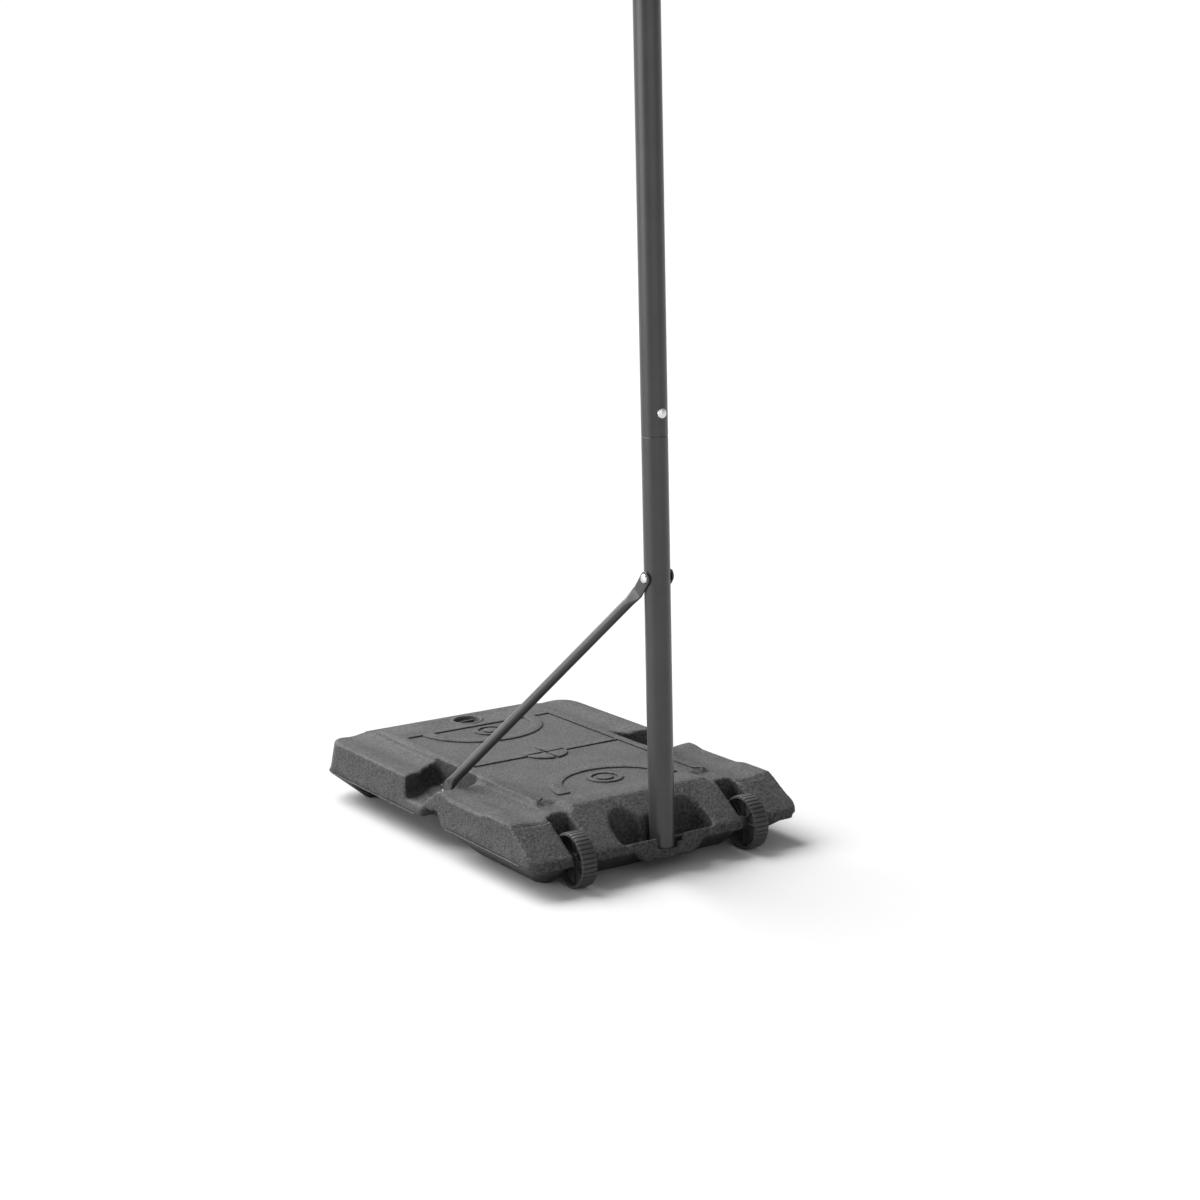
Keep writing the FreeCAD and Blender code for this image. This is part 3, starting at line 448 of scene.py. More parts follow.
def inside(spot, box, grow):
    return all(low - grow <= c <= high + grow for c, (low, high) in zip(spot, box))


def drop_hollow(mesh):
    """Remove the tank's inner walls, which no view reaches, and close the fill throat."""
    low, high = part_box("ballast_fill")
    slack, near = 0.0005, 0.0006
    half_width, length = 0.2625, 0.9385
    floor_z, wing_floor_z, roof_z = 0.0075, 0.0855, 0.1665
    rooms = (((-half_width, half_width), (low.y, low.y + length), (floor_z, roof_z)),
             ((low.x - slack, high.x + slack), (low.y, high.y + slack), (wing_floor_z, roof_z)))
    work = bmesh.new()
    work.from_mesh(mesh)
    bmesh.ops.remove_doubles(work, verts=work.verts, dist=1e-5)
    inner = [f for f in work.faces
             if all(any(inside(v.co, room, near) for room in rooms) for v in f.verts)]
    bmesh.ops.delete(work, geom=inner, context="FACES")
    loose = [v for v in work.verts if not v.link_faces]
    bmesh.ops.delete(work, geom=loose, context="VERTS")
    bmesh.ops.holes_fill(work, edges=[e for e in work.edges if e.is_boundary], sides=0)
    bmesh.ops.recalc_face_normals(work, faces=work.faces)
    work.to_mesh(mesh)
    work.free()


def tank_shell():
    """The moulded tank, remeshed so that every edge has the soft radius of blow moulding."""
    mesh = nodes["base_tank"].data.copy()
    drop_hollow(mesh)
    made = piece("tank_shell", mesh, "stand", "tank_plastic", TANK, "base_tank")
    remesh = made.modifiers.new("remesh", "REMESH")
    remesh.mode = "VOXEL"
    remesh.voxel_size = 0.006
    smooth = made.modifiers.new("smooth", "SMOOTH")
    smooth.factor = 0.5
    smooth.iterations = 5
    applied(made)
    for vertex in made.data.vertices:
        vertex.co.z -= rail_valley(vertex.co) + court_sink(vertex.co)
    made.data.materials.clear()
    made.data.materials.append(TANK)
    made.data.shade_smooth()
    return made


def smooth_step(low, high, value):
    """0 below low, 1 above high and an easy curve between them."""
    share = min(1.0, max(0.0, (value - low) / (high - low)))
    return share * share * (3 - 2 * share)


def rail_valley(spot):
    """How far the valley along each side rail, and the dip in the flank behind each wheel, sink."""
    shoulder_z, inner_x = 0.166, 0.285
    valley_x, valley_width, valley_depth, dip_depth = 0.338, 0.042, 0.0085, 0.007
    out, along = abs(spot.x), spot.y - POLE_Y
    if spot.z < shoulder_z or out < inner_x:
        return 0.0
    across = (out - valley_x) / valley_width
    valley = valley_depth * math.exp(-across * across)
    dip = smooth_step(0.19, 0.25, along) * (1 - smooth_step(0.40, 0.46, along))
    return valley + dip_depth * dip * smooth_step(0.36, 0.41, out)


def court_sink(spot):
    """The court's floor lies a little lower than its lines and border."""
    lowest, half_width, far, fill_r = 0.184, 0.262, 1.108, 0.052
    along = spot.y - POLE_Y
    outside = spot.z < lowest or abs(spot.x) > half_width or along > far
    if outside or math.hypot(spot.x, along - FILL_Y) < fill_r:
        return 0.0
    return LINE_HEIGHT * smooth_step(0.14, 0.20, along)


def parting_bead():
    """The thin flange where the tank's two halves meet, along each flank and round the back corner."""
    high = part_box("base_tank")[1]
    height, bead_r, sunk, corner = 0.0815, 0.0021, 0.0004, 0.095
    front_run, back_run = (0.02, 0.15, 0.30, 0.424), (0.594, 0.75, 0.95)
    reach = high.x - sunk
    section = round_section(bead_r, 10)
    parts = []
    for sign in (-1, 1):
        fore, rear = ([Vector((sign * reach, POLE_Y + along, height)) for along in run]
                      for run in (front_run, back_run))
        centre = Vector((sign * (reach - corner), high.y - sunk - corner, height))
        for k in range(11):
            turn = math.pi / 2 * k / 10
            rear.append(centre + Vector((sign * corner * math.cos(turn), corner * math.sin(turn), 0)))
        parts += [sweep(fore, section), sweep(rear, section)]
    crease(piece("parting_bead", merged(parts), "stand", "tank_plastic", TANK), 50)


def oblong(x0, x1, y0, y1):
    return [(x0, y0), (x1, y0), (x1, y1), (x0, y1)]


def court_relief():
    """The court's raised lines, arcs, ball and border, and a plain disc and ring inside each arc."""
    half, side, back, far, front, centre = 0.247, 0.272, 0.990, 1.120, 0.208, 0.599
    line, arc, arc_width, ball, heart = 0.011, 0.195, 0.038, 0.064, 0.008
    fill_r, splay, lap, soft = 0.0505, 0.02, 0.002, 0.0013
    ring_out, ring_in, disc_r, emblem_shift = 0.052, 0.038, 0.024, 0.072
    base, height = DECK_Z - LINE_HEIGHT - 0.003, LINE_HEIGHT + 0.0034
    border = [(-side, front - splay), (-half, front), (-half, back), (half, back), (half, front),
              (side, front - splay), (side, far), (-side, far)]
    fill_gap = arc_points((0, FILL_Y), fill_r, 360, 0, 48)[:-1]
    rails = raised([border], base, height, soft, fill_gap)
    bars = []
    for sign in (-1, 1):
        start, end = sorted((sign * (half + lap), sign * ball))
        bars.append(oblong(start, end, centre - line / 2, centre + line / 2))
    for level, start, end in ((back + 0.001, 180, 360), (front, 0, 180)):
        outer = arc_points((0, level), arc, start, end, 48)
        inner = arc_points((0, level), arc - arc_width, end, start, 48)
        bars.append(outer + inner)
    piece("court_lines", merged([rails, raised(bars, base, height, soft)]), "stand", "tank_plastic", TANK)
    petals = []
    for quarter in range(4):
        start = quarter * 90
        turn = math.radians(start + 45)
        outer = arc_points((0, centre), ball, start + 4, start + 86, 14)
        petals.append(outer + [(heart * math.cos(turn), centre + heart * math.sin(turn))])
    piece("centre_ball", raised(petals, base, height + 0.001, soft), "stand", "tank_plastic", TANK)
    for name, level, sign in (("emblem_back", back, -1), ("emblem_front", front, 1)):
        spot = (0, level + sign * emblem_shift)
        outer, inner, disc = (arc_points(spot, radius, 0, 360, 48)[:-1]
                              for radius in (ring_out, ring_in, disc_r))
        mark = merged([raised([outer], base, height, soft, inner[::-1]), raised([disc], base, height, soft)])
        piece(name, mark, "stand", "tank_plastic", TANK)


# ---------------------------------------------------------------- wheels

def wheel_rib(start, sign, angle, level, reach):
    """A thin rib on a face of the wheel's web, from the hub to the drum."""
    foot_half, crest_half = 0.0014, 0.0009
    radii = (0.0185, 0.030, 0.050, 0.0655)
    out = Vector((0, math.cos(angle), math.sin(angle)))
    across = out.cross(Vector((1, 0, 0)))
    foot, crest = Vector((sign * level, 0, 0)), Vector((sign * (level + reach), 0, 0))
    points = []
    for radius in radii:
        spot = start + out * radius
        points += [spot + foot - across * foot_half, spot + foot + across * foot_half,
                   spot + crest + across * crest_half, spot + crest - across * crest_half]
    return tidy(mesh_of(points, ring_faces(len(radii), 4)))


def wheel(side, sign):
    """A moulded wheel: barred tread, open dish with ribs, and a hub."""
    low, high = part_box("wheel_" + side)
    centre = (low + high) / 2
    width, radius = high.x - low.x, (high.z - low.z) / 2
    bars, groove, depth, bore = 36, 0.36, 0.0034, 0.00606
    start = centre - Vector((sign * width / 2, 0, 0))
    web_out, web_in = width - 0.0225, 0.0165
    outer = [(radius - 0.0042, 0.0), (radius - 0.0012, 0.0012), (radius, 0.0042), (radius, width * 0.5),
             (radius, width - 0.0046), (radius - 0.0014, width - 0.0014), (radius - 0.005, width)]
    face = [(0.0682, width), (0.0668, width - 0.002), (0.0664, width - 0.006), (0.0652, web_out + 0.001),
            (0.0630, web_out), (0.0225, web_out), (0.0200, web_out + 0.0012), (0.0188, width - 0.0168),
            (0.0174, width - 0.0152), (0.0082, width - 0.0150), (bore, width - 0.0158)]
    inner = [(bore, 0.0012), (0.0072, 0.0), (0.0166, 0.0), (0.0178, 0.0016), (0.0188, web_in - 0.0012),
             (0.0210, web_in), (0.0630, web_in), (0.0652, web_in - 0.001), (0.0664, 0.006), (0.0668, 0.002),
             (0.0682, 0.0)]
    profile = outer + face + inner
    tread = set(range(1, 6))

    def bars_cut(index, size, angle):
        if index not in tread:
            return size
        phase = (angle * bars / (2 * math.pi)) % 1.0
        edge = min(abs(phase + turn - groove) for turn in (-1, 0, 1))
        return size - depth * (1 - smooth_step(0.09, 0.15, edge))

    drum = lathe(profile, start, Vector((sign, 0, 0)), bars * 12, bars_cut)
    ribs = [wheel_rib(start, sign, 2 * math.pi * index / 8, level, reach)
            for index in range(8) for level, reach in ((web_out, 0.006), (web_in, -0.006))]
    node = "wheel_" + side
    crease(piece("tyre_" + side, merged([drum] + ribs), node, "wheel_plastic", WHEEL, node), 32)


# ---------------------------------------------------------------- poles and struts

def tube_side(radius, low, high, steps=10):
    """Points up a tube's side, one near its foot and the rest evenly spaced, so that it shades evenly."""
    return [(radius, low + 0.004)] + [(radius, low + (high - low) * k / steps) for k in range(1, steps)]


def pole(name, node, body, outer):
    """A plain round tube with softened ends."""
    low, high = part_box(node)
    inner, lip = outer - TUBE_WALL, 0.0009
    profile = [(outer - lip, low.z), (outer, low.z + lip)] + tube_side(outer, low.z, high.z)
    profile += [(outer, high.z - 0.004), (outer, high.z - lip), (outer - lip, high.z),
                (inner, high.z), (inner, low.z)]
    mesh = lathe(profile, at(0, 0, 0), Vector((0, 0, 1)))
    crease(piece(name, mesh, body, "powder_coat", COAT, node), 40)


def lower_pole():
    """The bottom section, with the necked spigot that the middle section sits on."""
    low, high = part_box("lower_pole")
    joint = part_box("middle_pole")[0].z - 0.0006
    neck, lip = 0.0332, 0.0008
    profile = [(POLE_R - lip, low.z), (POLE_R, low.z + lip)] + tube_side(POLE_R, low.z, joint)
    profile += [(POLE_R, joint - 0.0064), (POLE_R, joint - 0.0034), (POLE_R, joint - 0.0024),
                (POLE_R - 0.0016, joint - 0.0002), (neck, joint + 0.0004),
                (neck, high.z - 0.001), (neck - 0.001, high.z), (neck - TUBE_WALL, high.z),
                (neck - TUBE_WALL, joint - 0.008), (POLE_R - TUBE_WALL, joint - 0.009),
                (POLE_R - TUBE_WALL, low.z)]
    mesh = lathe(profile, at(0, 0, 0), Vector((0, 0, 1)))
    crease(piece("pole_lower", mesh, "stand", "powder_coat", COAT, "lower_pole"), 40)


def strut(side, sign):
    """A round tube with a crimped, rounded eye at each end, bent to lie flat against what it bolts to."""
    flat_half, flat_thick, tip_half, tube_r = 0.019, 0.003, 0.0006, 0.0143
    top_x, ear_gap, top_flat, foot_flat = 0.0383, 0.003, 0.052, 0.034
    step_out, step_run, lead = 0.004, 0.016, 0.03
    top_bolt, foot_bolt = middle("strut_top_bolt"), middle("strut_foot_bolt_" + side)
    low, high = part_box("strut_bracket_" + side)
    ear_x = max(abs(low.x), abs(high.x))
    top = Vector((sign * top_x, POLE_Y, top_bolt.z))
    foot = Vector((sign * (ear_x + ear_gap), foot_bolt.y, foot_bolt.z))
    run = Vector((0, foot.y - top.y, foot.z - top.z)).normalized()
    across = run.cross(Vector((1, 0, 0))).normalized()
    top_end, foot_end = top + run * top_flat, foot - run * foot_flat
    bend_top = top_end + Vector((sign * step_out, 0, 0)) + run * step_run
    bend_foot = foot_end - Vector((sign * step_out, 0, 0)) - run * step_run
    along_tube = (bend_foot - bend_top).normalized() * lead
    start, finish = bend_top + along_tube, bend_foot - along_tube

    def eye(centre, away):
        """Stations (place, half width, half thickness, roundness) from the eye's tip to its bolt."""
        turns = [math.pi / 2 * k / 12 for k in range(13)]
        return [(centre + away * (flat_half * math.cos(turn)), max(flat_half * math.sin(turn), tip_half),
                 flat_thick, 0.0) for turn in turns]

    def flare(flat_end, round_end):
        """Stations from a flat's inner end to the round tube."""
        found = []
        for k in range(1, 9):
            ease = smooth_step(0, 1, k / 8)
            found.append((flat_end.lerp(round_end, k / 8), flat_half + (tube_r - flat_half) * ease,
                          flat_thick + (tube_r - flat_thick) * ease, ease))
        return found

    shoulder = (flat_half * 0.99, flat_thick + 0.0004, 0.0)
    stations = eye(top, -run) + [(top + run * 0.03, flat_half, flat_thick, 0.0), (top_end, *shoulder)]
    stations += flare(top_end, start)
    stations += [(start.lerp(finish, k / 12), tube_r, tube_r, 1.0) for k in range(1, 12)]
    stations += flare(foot_end, finish)[::-1] + [(foot_end, *shoulder)] + eye(foot, run)[::-1]
    points, sides = [], 40
    for spot, half, thick, roundness in stations:
        power = 0.42 + 0.58 * roundness
        for k in range(sides):
            angle = 2 * math.pi * k / sides
            c, s = math.cos(angle), math.sin(angle)
            a = math.copysign(abs(c) ** power, c) * half
            b = math.copysign(abs(s) ** power, s) * thick
            points.append(spot + across * a + Vector((b, 0, 0)))
    mesh = tidy(mesh_of(points, ring_faces(len(stations), sides)))
    crease(piece("brace_tube_" + side, mesh, "stand", "powder_coat", COAT, "strut_" + side), 50)


# ---------------------------------------------------------------- fasteners

def dome(seat, out, radius=0.0132, height=0.0062):
    """A round bolt head with a rolled edge and a small stamped dimple."""
    profile = [(0.0, 0.0), (radius - 0.0006, 0.0), (radius, 0.0008), (radius - 0.0002, 0.0016)]
    steps = 8
    for k in range(1, steps + 1):
        share = k / steps
        profile.append(((radius - 0.0006) * math.cos(share * math.pi / 2 * 0.93),
                        0.0016 + (height - 0.0016) * math.sin(share * math.pi / 2)))
    profile.append((0.0, height - 0.0006))
    return lathe(profile, seat, out, 40)


def bolt_heads():
    """Detailed domes over the plain heads, one piece to each bolt."""
    head, shank_r = 0.0063, 0.004
    for name in ("pole_joint_bolt", "strut_top_bolt", "strut_foot_bolt_left", "strut_foot_bolt_right"):
        low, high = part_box(name)
        seat, far = middle(name), middle(name)
        if name == "pole_joint_bolt":
            out = Vector((0, -1, 0))
            seat.y, far.y = POLE_Y - POLE_R, high.y
        elif name.endswith("right"):
            out = Vector((1, 0, 0))
            seat.x, far.x = high.x - head, low.x
        else:
            out = Vector((-1, 0, 0))
            seat.x, far.x = low.x + head, high.x
        length = (far - seat).length
        shank = lathe([(0.0, 0.0), (shank_r, 0.0), (shank_r, length - 0.001), (shank_r * 0.8, length),
                       (0.0, length)], seat, -out, 24)
        slot, material = ("black_steel", BLACK_STEEL) if "foot" in name else ("zinc_steel", ZINC)
        crease(piece(name + "_head", merged([dome(seat, out), shank]), "stand", slot, material, name), 40)


# ---------------------------------------------------------------- collar and knob

def collar():
    """The moulded collar with a stepped skirt, ribs and a boss for the clamp knob."""
    low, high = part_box("pole_collar")
    outer, seat = 0.043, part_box("middle_pole")[1].z
    bore = MAST_R + 0.00035
    profile = [(POLE_R, low.z), (outer - 0.003, low.z), (outer, low.z + 0.003), (outer, low.z + 0.012),
               (outer - 0.002, low.z + 0.014), (outer - 0.002, high.z - 0.016), (outer, high.z - 0.014),
               (outer, high.z - 0.004), (outer - 0.004, high.z), (bore + 0.0015, high.z),
               (bore, high.z - 0.0015), (bore, seat), (POLE_R, seat)]
    ring = lathe(profile, at(0, 0, 0), Vector((0, 0, 1)), 96)
    knob_z = middle("clamp_knob").z
    boss = lathe([(0.0052, 0.032), (0.015, 0.036), (0.015, 0.056), (0.013, 0.060), (0.0052, 0.060)],
                 at(0, 0, knob_z), Vector((0, 1, 0)), 48)
    ribs = []
    for index in range(20):
        angle = 2 * math.pi * (index + 0.5) / 20
        out = Vector((math.cos(angle), math.sin(angle), 0))
        if out.y > 0.85:
            continue
        spot = at(0, 0, low.z + 0.015) + out * (outer - 0.0012)
        top = at(0, 0, high.z - 0.017) + out * (outer - 0.0012)
        ribs.append(sweep([spot, spot.lerp(top, 0.5), top], round_section(0.0012, 8)))
    mesh = merged([ring, boss] + ribs)
    crease(piece("collar_moulding", mesh, "stand", "collar_plastic", FITTING, "pole_collar"), 35)


def knob():
    """A five-lobed knob with a dished face, on its threaded stud."""
    low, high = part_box("clamp_knob")
    centre = (low + high) / 2
    depth = 0.022
    start = high.y - depth
    base = Vector((0, 0, centre.z))
    profile = [(0.006, 0.0), (0.017, 0.0), (0.0235, 0.0025), (0.0262, 0.006), (0.0266, 0.014),
               (0.0245, 0.0192), (0.0200, 0.0215), (0.0120, 0.0205), (0.0, 0.0195), (0.0, 0.001)]
    lobed = set(range(1, 7))

    def lobes(index, size, angle):
        if index not in lobed:
            return size
        return size * (0.93 + 0.065 * math.cos(5 * angle))

    grip = lathe(profile, base + Vector((0, start, 0)), Vector((0, 1, 0)), 120, lobes)
    stud = [(0.0, 0.0)]
    turns = 34
    length = start - low.y
    for k in range(turns):
        stud += [(0.0043, length * (k + 0.1) / turns), (0.0049, length * (k + 0.5) / turns)]
    stud += [(0.0043, length), (0.0, length)]
    thread = lathe(stud, base + Vector((0, low.y, 0)), Vector((0, 1, 0)), 32)
    crease(piece("knob_moulding", merged([grip, thread]), "knob", "knob_plastic", FITTING, "clamp_knob"), 35)


# ---------------------------------------------------------------- backboard

def rounded_rect(half_x, low_z, high_z, radius, steps=8):
    """Corner points of an upright rounded rectangle, as (x, z)."""
    corners = ((half_x, high_z, 0), (-half_x, high_z, 90), (-half_x, low_z, 180), (half_x, low_z, 270))
    points = []
    for x, z, start in corners:
        cx = x - math.copysign(radius, x)
        cz = z - radius if start < 180 else z + radius
        for k in range(steps + 1):
            angle = math.radians(start + 90 * k / steps)
            points.append((cx + radius * math.cos(angle), cz + radius * math.sin(angle)))
    return points


def upright_slab(outline, front, back, soft=0.0008):
    work = bmesh.new()
    ring = [work.verts.new((x, front, z)) for x, z in outline]
    face = work.faces.new(ring)
    grown = bmesh.ops.extrude_face_region(work, geom=[face])
    far = [v for v in grown["geom"] if isinstance(v, bmesh.types.BMVert)]
    bmesh.ops.translate(work, verts=far, vec=(0, back - front, 0))
    bmesh.ops.recalc_face_normals(work, faces=work.faces)
    flat = [e for e in work.edges if len({round(v.co.y, 6) for v in e.verts}) == 1]
    bmesh.ops.bevel(work, geom=flat, offset=soft, segments=2, profile=0.5, affect="EDGES")
    mesh = bpy.data.meshes.new("slab")
    work.to_mesh(mesh)
    work.free()
    return mesh


def band(outline, inset_outline, front, back):
    """A closed picture-frame band between two outlines with equal point counts."""
    count = len(outline)
    points = [(x, y, z) for y in (front, back) for x, z in outline]
    points += [(x, y, z) for y in (front, back) for x, z in inset_outline]
    faces = []
    for k in range(count):
        j = (k + 1) % count
        faces.append((k, j, count + j, count + k))
        faces.append((2 * count + k, 2 * count + j, 3 * count + j, 3 * count + k))
        faces.append((k, j, 2 * count + j, 2 * count + k))
        faces.append((count + k, count + j, 3 * count + j, 3 * count + k))
    return tidy(mesh_of(points, faces))


def backboard():
    """The sheet with its border and shooter's square, and the ribbed frame behind it."""
    low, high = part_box("backboard_panel")
    frame_low, frame_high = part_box("backboard_frame")
    square_low, square_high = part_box("target_square")
    rim_low, rim_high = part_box("rim_nuts")
    half, corner, wide = high.x, 0.045, 0.038
    post_x, post_half, rib_half, lap, square_band = 0.070, 0.015, 0.004, 0.004, 0.05
    front, back = frame_low.y + 0.0002, frame_high.y

    def inset(by, radius):
        return rounded_rect(half - by, low.z + by, high.z - by, radius)

    sheet = upright_slab(inset(0, corner), low.y, high.y)
    crease(piece("board_sheet", sheet, "mast", "board_panel", BOARD, "backboard_panel"), 30)
    parts = [band(inset(0, corner), inset(wide, corner - 0.02), front, back)]
    for sign in (-1, 1):
        parts.append(bar(sign * post_x - post_half, sign * post_x + post_half,
                         low.z + wide - lap, high.z - wide + lap, front, back - 0.002))
    for node in ("lower_board_bracket", "upper_board_bracket"):
        spot = middle(node).z
        parts.append(bar(-0.1, 0.1, spot - 0.04, spot + 0.04, front, back - 0.001))
    parts.append(bar(-0.07, 0.07, rim_low.z - 0.02, rim_high.z + 0.02, front, back - 0.001))
    for sign in (-1, 1):
        for k in range(1, 4):
            level = low.z + wide + (high.z - low.z - 2 * wide) * k / 4
            start, end = sorted((sign * 0.084, sign * (half - wide + lap)))
            parts.append(bar(start, end, level - rib_half, level + rib_half, front, back - 0.012))
    made = piece("board_frame", merged(parts), "mast", "frame_plastic", FRAME_PLASTIC, "backboard_frame")
    crease(bevel(made, 0.0015), 30)
    border = band(inset(0.012, corner - 0.01), inset(0.050, corner - 0.03), low.y - 0.0004, low.y + 0.0004)
    crease(piece("board_border", border, "mast", "frame_plastic", FRAME_PLASTIC), 30)
    outer = rounded_rect(square_high.x, square_low.z, square_high.z, 0.012)
    inner = rounded_rect(square_high.x - square_band, square_low.z + square_band,
                         square_high.z - square_band, 0.006)
    marking = band(outer, inner, square_low.y, low.y + 0.0003)
    crease(piece("shooter_square", marking, "mast", "board_marking", MARKING, "target_square"), 30)


def bar(x0, x1, z0, z1, front, back):
    points = [(x, y, z) for x in (x0, x1) for y in (front, back) for z in (z0, z1)]
    faces = [(0, 1, 3, 2), (4, 5, 7, 6), (0, 1, 5, 4), (2, 3, 7, 6), (0, 2, 6, 4), (1, 3, 7, 5)]
    return tidy(mesh_of(points, faces))


# ---------------------------------------------------------------- rim and net

def rim():
    """The ring and the wire loops for the net."""
    low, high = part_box("rim_ring")
    rod = (high.z - low.z) / 2
    radius = (high.x - low.x) / 2 - rod
    wire_r, loop_half, loop_drop, rise = 0.0018, 0.0075, 0.0125, Vector((0, 0, 0.004))
    path = []
    for k in range(144):
        turn = 2 * math.pi * k / 144
        path.append(RIM_CENTRE + Vector((radius * math.cos(turn), radius * math.sin(turn), 0)))
    ring = sweep(path, round_section(rod, 24), closed=True)
    crease(piece("rim_hoop", ring, "mast", "rim_paint", RIM_PAINT, "rim_ring"), 60)
    hooks = []
    for index in range(LOOPS):
        angle = 2 * math.pi * (index + 0.5) / LOOPS
        out = Vector((math.cos(angle), math.sin(angle), 0))
        across = out.cross(Vector((0, 0, 1)))
        centre = RIM_CENTRE + out * radius + Vector((0, 0, -rod + 0.0005))
        loop = []
        for k in range(17):
            turn = math.pi * (1.0 + k / 16)
            drop = Vector((0, 0, loop_drop * math.sin(turn)))
            loop.append(centre + across * (loop_half * math.cos(turn)) + drop)
        loop = [loop[0] + rise] + loop + [loop[-1] + rise]
        hooks.append(sweep(loop, round_section(wire_r, 10)))
    crease(piece("rim_hooks", merged(hooks), "mast", "rim_paint", RIM_PAINT, "net_hooks"), 60)


def net():
    """A knotted net of white cord, which hangs from the hooks and narrows downwards."""
    low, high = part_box("net")
    rows = 7
    top, bottom = high.z + 0.006, low.z + 0.012
    wide, narrow = (high.x - low.x) / 2 - 0.006, 0.131
    cord_r, knot_r, knot_length, slack_in, slack_down = 0.0023, 0.0048, 1.35, 0.004, 0.003

    def knot_at(row, index):
        share = row / rows
        radius = narrow + (wide - narrow) * (1 - share) ** 1.35
        angle = 2 * math.pi * (index + 0.5 + (row % 2) / 2) / LOOPS
        radius *= 1 + 0.010 * math.sin(5.3 * index + 2.1 * row)
        level = top + (bottom - top) * share + 0.003 * math.sin(3.7 * index + 1.3 * row)
        return Vector((RIM_CENTRE.x + radius * math.cos(angle),
                       RIM_CENTRE.y + radius * math.sin(angle), level))

    def cord(start, end):
        """A slack length between two knots, bowed inwards and down."""
        bow = Vector((start.x + end.x - 2 * RIM_CENTRE.x, start.y + end.y - 2 * RIM_CENTRE.y, 0)).normalized()
        path = []
        for share in (k / 8 for k in range(9)):
            sag = 4 * share * (1 - share)
            path.append(start.lerp(end, share) - bow * (slack_in * sag) - Vector((0, 0, slack_down * sag)))
        return sweep(path, round_section(cord_r, 8))

    parts = []
    for row in range(rows):
        shift = row % 2 - 1
        for index in range(LOOPS):
            parts += [cord(knot_at(row, index), knot_at(row + 1, index + shift + step)) for step in (0, 1)]
    for row in range(1, rows + 1):
        for index in range(LOOPS):
            ball = bmesh.new()
            bmesh.ops.create_icosphere(ball, subdivisions=2, radius=knot_r)
            shape = Matrix.Translation(knot_at(row, index)) @ Matrix.Diagonal((1, 1, knot_length, 1))
            bmesh.ops.transform(ball, matrix=shape, verts=ball.verts)
            mesh = bpy.data.meshes.new("knot")
            ball.to_mesh(mesh)
            ball.free()
            parts.append(mesh)
    crease(piece("net_cords", merged(parts), "mast", "net_cord", NET, "net"), 60)


# ---------------------------------------------------------------- CAD nodes that stay

KEPT = {
    "axle": BLACK_STEEL, "axle_retainer_left": BLACK_STEEL, "axle_retainer_right": BLACK_STEEL,
    "pole_joint_nut": ZINC, "strut_top_nut": BLACK_STEEL,
    "strut_bracket_left": COAT, "strut_bracket_right": COAT,
    "strut_foot_nut_left": ZINC, "strut_foot_nut_right": ZINC,
    "lower_board_bracket": COAT, "upper_board_bracket": COAT,
    "bracket_cross_bolts": ZINC, "bracket_cross_nuts": ZINC, "board_bolts": ZINC,
    "rim_bracket": RIM_PAINT, "rim_brace_left": RIM_PAINT, "rim_brace_right": RIM_PAINT,
    "rim_bolts": ZINC, "rim_nuts": ZINC,
    "filler_cap": FITTING, "cap_gasket": RUBBER, "guide_bushing": FITTING, "pole_cap": FITTING,
    "ballast_fill": FITTING,
}


def keep_nodes():
    """Nodes whose CAD shape is right get their material and a small edge radius."""
    for name, material in KEPT.items():
        made = nodes[name]
        made.data.materials.clear()
        made.data.materials.append(material)
        if name != "ballast_fill":
            weld = made.modifiers.new("weld", "WELD")
            weld.merge_threshold = 1e-5
            bevel(made, 0.0006)


# ---------------------------------------------------------------- stage

def floor():
    """A plain pale sheet that the light bleaches to white."""
    made, surface = shader("floor_paper", (0.40, 0.40, 0.40), 0.95)
    surface.inputs["Specular IOR Level"].default_value = 0.0
    size = 60.0
    mesh = mesh_of([(-size, -size, 0), (size, -size, 0), (size, size, 0), (-size, size, 0)], [(0, 1, 2, 3)])
    sheet = bpy.data.objects.new("floor", mesh)
    mesh.materials.append(made)
    bpy.context.scene.collection.objects.link(sheet)


def sun(name, direction, strength, spread_degrees):
    """A soft light from far away; direction points towards it."""
    lamp = bpy.data.lights.new(name, "SUN")
    lamp.energy = strength
    lamp.angle = math.radians(spread_degrees)
    made = bpy.data.objects.new(name, lamp)
    made.rotation_mode = "QUATERNION"
    made.rotation_quaternion = Vector(direction).to_track_quat("Z", "Y")
    bpy.context.scene.collection.objects.link(made)


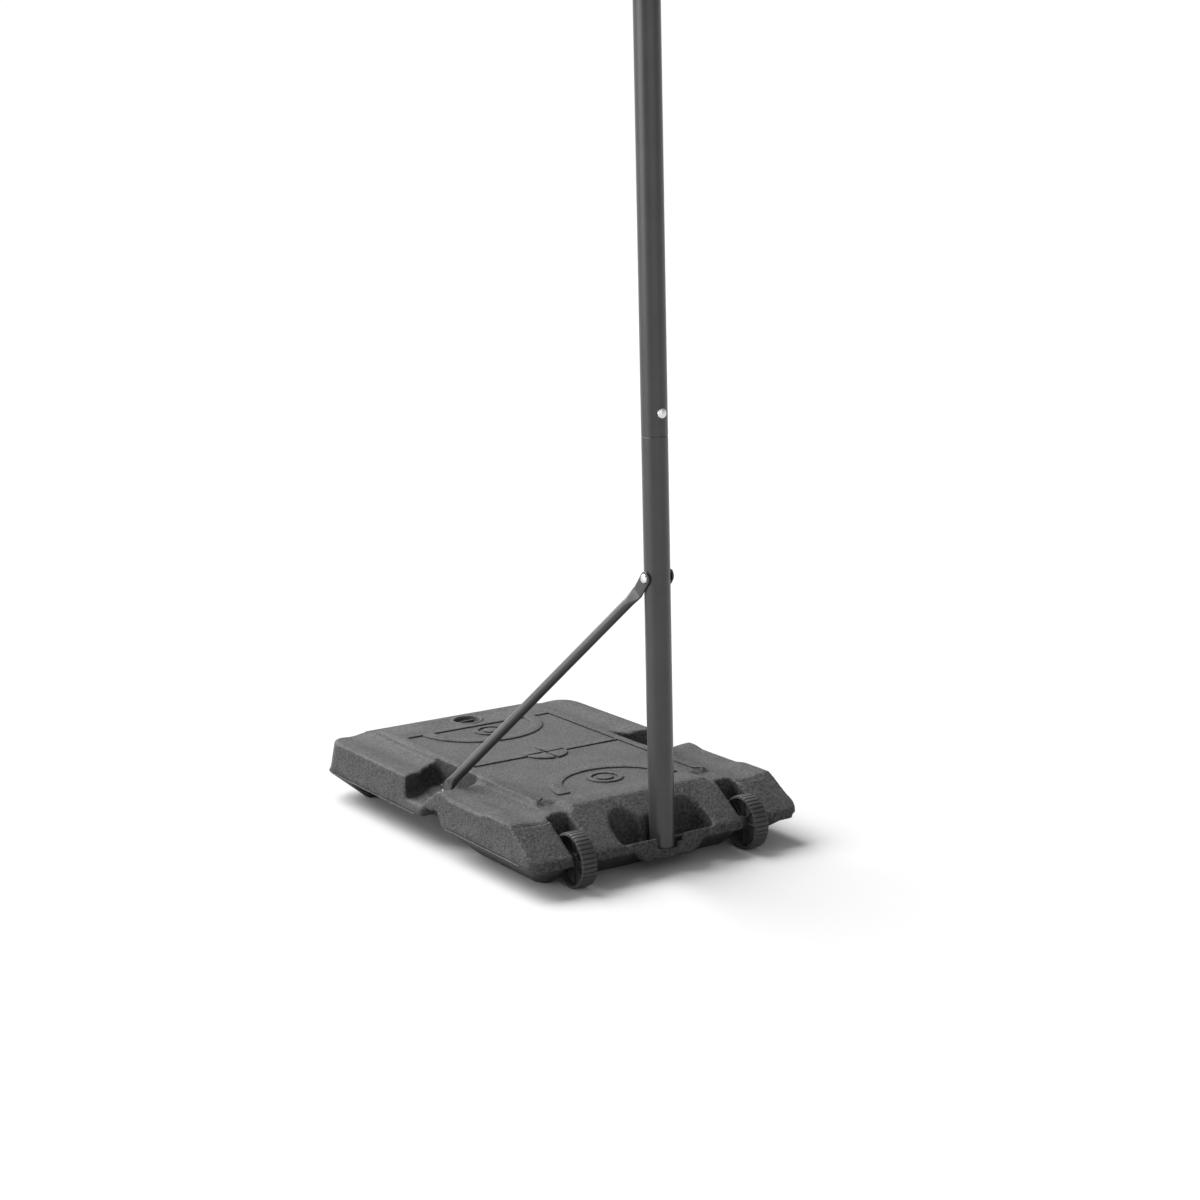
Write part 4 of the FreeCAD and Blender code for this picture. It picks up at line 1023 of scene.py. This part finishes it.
def studio():
    """A white room, bright at the horizon and dim in front, with broad lights behind, left and in front."""
    world = bpy.data.worlds.new("studio")
    world.use_nodes = True
    tree = world.node_tree
    background = tree.nodes["Background"]
    where = tree.nodes.new("ShaderNodeTexCoord")
    parts = tree.nodes.new("ShaderNodeSeparateXYZ")
    tree.links.new(where.outputs["Generated"], parts.inputs["Vector"])

    def graded(axis, low, high, first, last):
        """A strength that goes from first to last as an axis of the direction goes from low to high."""
        item = tree.nodes.new("ShaderNodeMapRange")
        for key, value in (("From Min", low), ("From Max", high), ("To Min", first), ("To Max", last)):
            item.inputs[key].default_value = value
        tree.links.new(parts.outputs[axis], item.inputs["Value"])
        return item

    both = tree.nodes.new("ShaderNodeMath")
    both.operation = "MULTIPLY"
    tree.links.new(graded("Z", 0.20, 0.42, 1.02, 0.55).outputs["Result"], both.inputs[0])
    tree.links.new(graded("Y", -0.95, 0.10, 0.36, 1.0).outputs["Result"], both.inputs[1])
    tree.links.new(both.outputs["Value"], background.inputs["Strength"])
    background.inputs["Color"].default_value = (1.0, 1.0, 1.0, 1)
    bpy.context.scene.world = world
    sun("back_light", (-0.25, 0.72, 0.80), 8.5, 50)
    sun("left_light", (-0.95, 0.22, 0.20), 2.1, 46)
    sun("front_fill", (-0.10, -0.90, 0.35), 0.9, 60)
    bpy.context.scene.view_settings.view_transform = "Standard"


def camera():
    """The low three-quarter view of the base, from the court side and the left."""
    azimuth, elevation, roll = math.radians(-32.8), math.radians(14.0), math.radians(-1.3)
    back = Vector((math.sin(azimuth) * math.cos(elevation), -math.cos(azimuth) * math.cos(elevation),
                   math.sin(elevation)))
    right = Vector((math.cos(azimuth), math.sin(azimuth), 0))
    up = back.cross(right)
    turned_right = right * math.cos(roll) + up * math.sin(roll)
    turned_up = up * math.cos(roll) - right * math.sin(roll)
    lens = bpy.data.cameras.new("camera")
    lens.sensor_width = 36.0
    lens.lens = 65.88
    lens.shift_x = -0.0162
    lens.shift_y = 0.08
    lens.clip_start = 0.05
    lens.clip_end = 200
    made = bpy.data.objects.new("camera", lens)
    distance, aim_height, aim_left = 5.8276, 0.4774, 0.1059
    target = Vector((0, POLE_Y, aim_height)) - right * aim_left
    turn = Matrix((turned_right, turned_up, back)).transposed()
    made.matrix_world = Matrix.Translation(target + back * distance) @ turn.to_4x4()
    bpy.context.scene.collection.objects.link(made)
    bpy.context.scene.camera = made


camera()
studio()
floor()
tank_shell()
parting_bead()
court_relief()
for wheel_side, wheel_sign in (("left", -1), ("right", 1)):
    wheel(wheel_side, wheel_sign)
    strut(wheel_side, wheel_sign)
lower_pole()
pole("pole_middle", "middle_pole", "stand", POLE_R)
pole("pole_upper", "upper_pole", "mast", MAST_R)
bolt_heads()
collar()
knob()
backboard()
rim()
net()
keep_nodes()
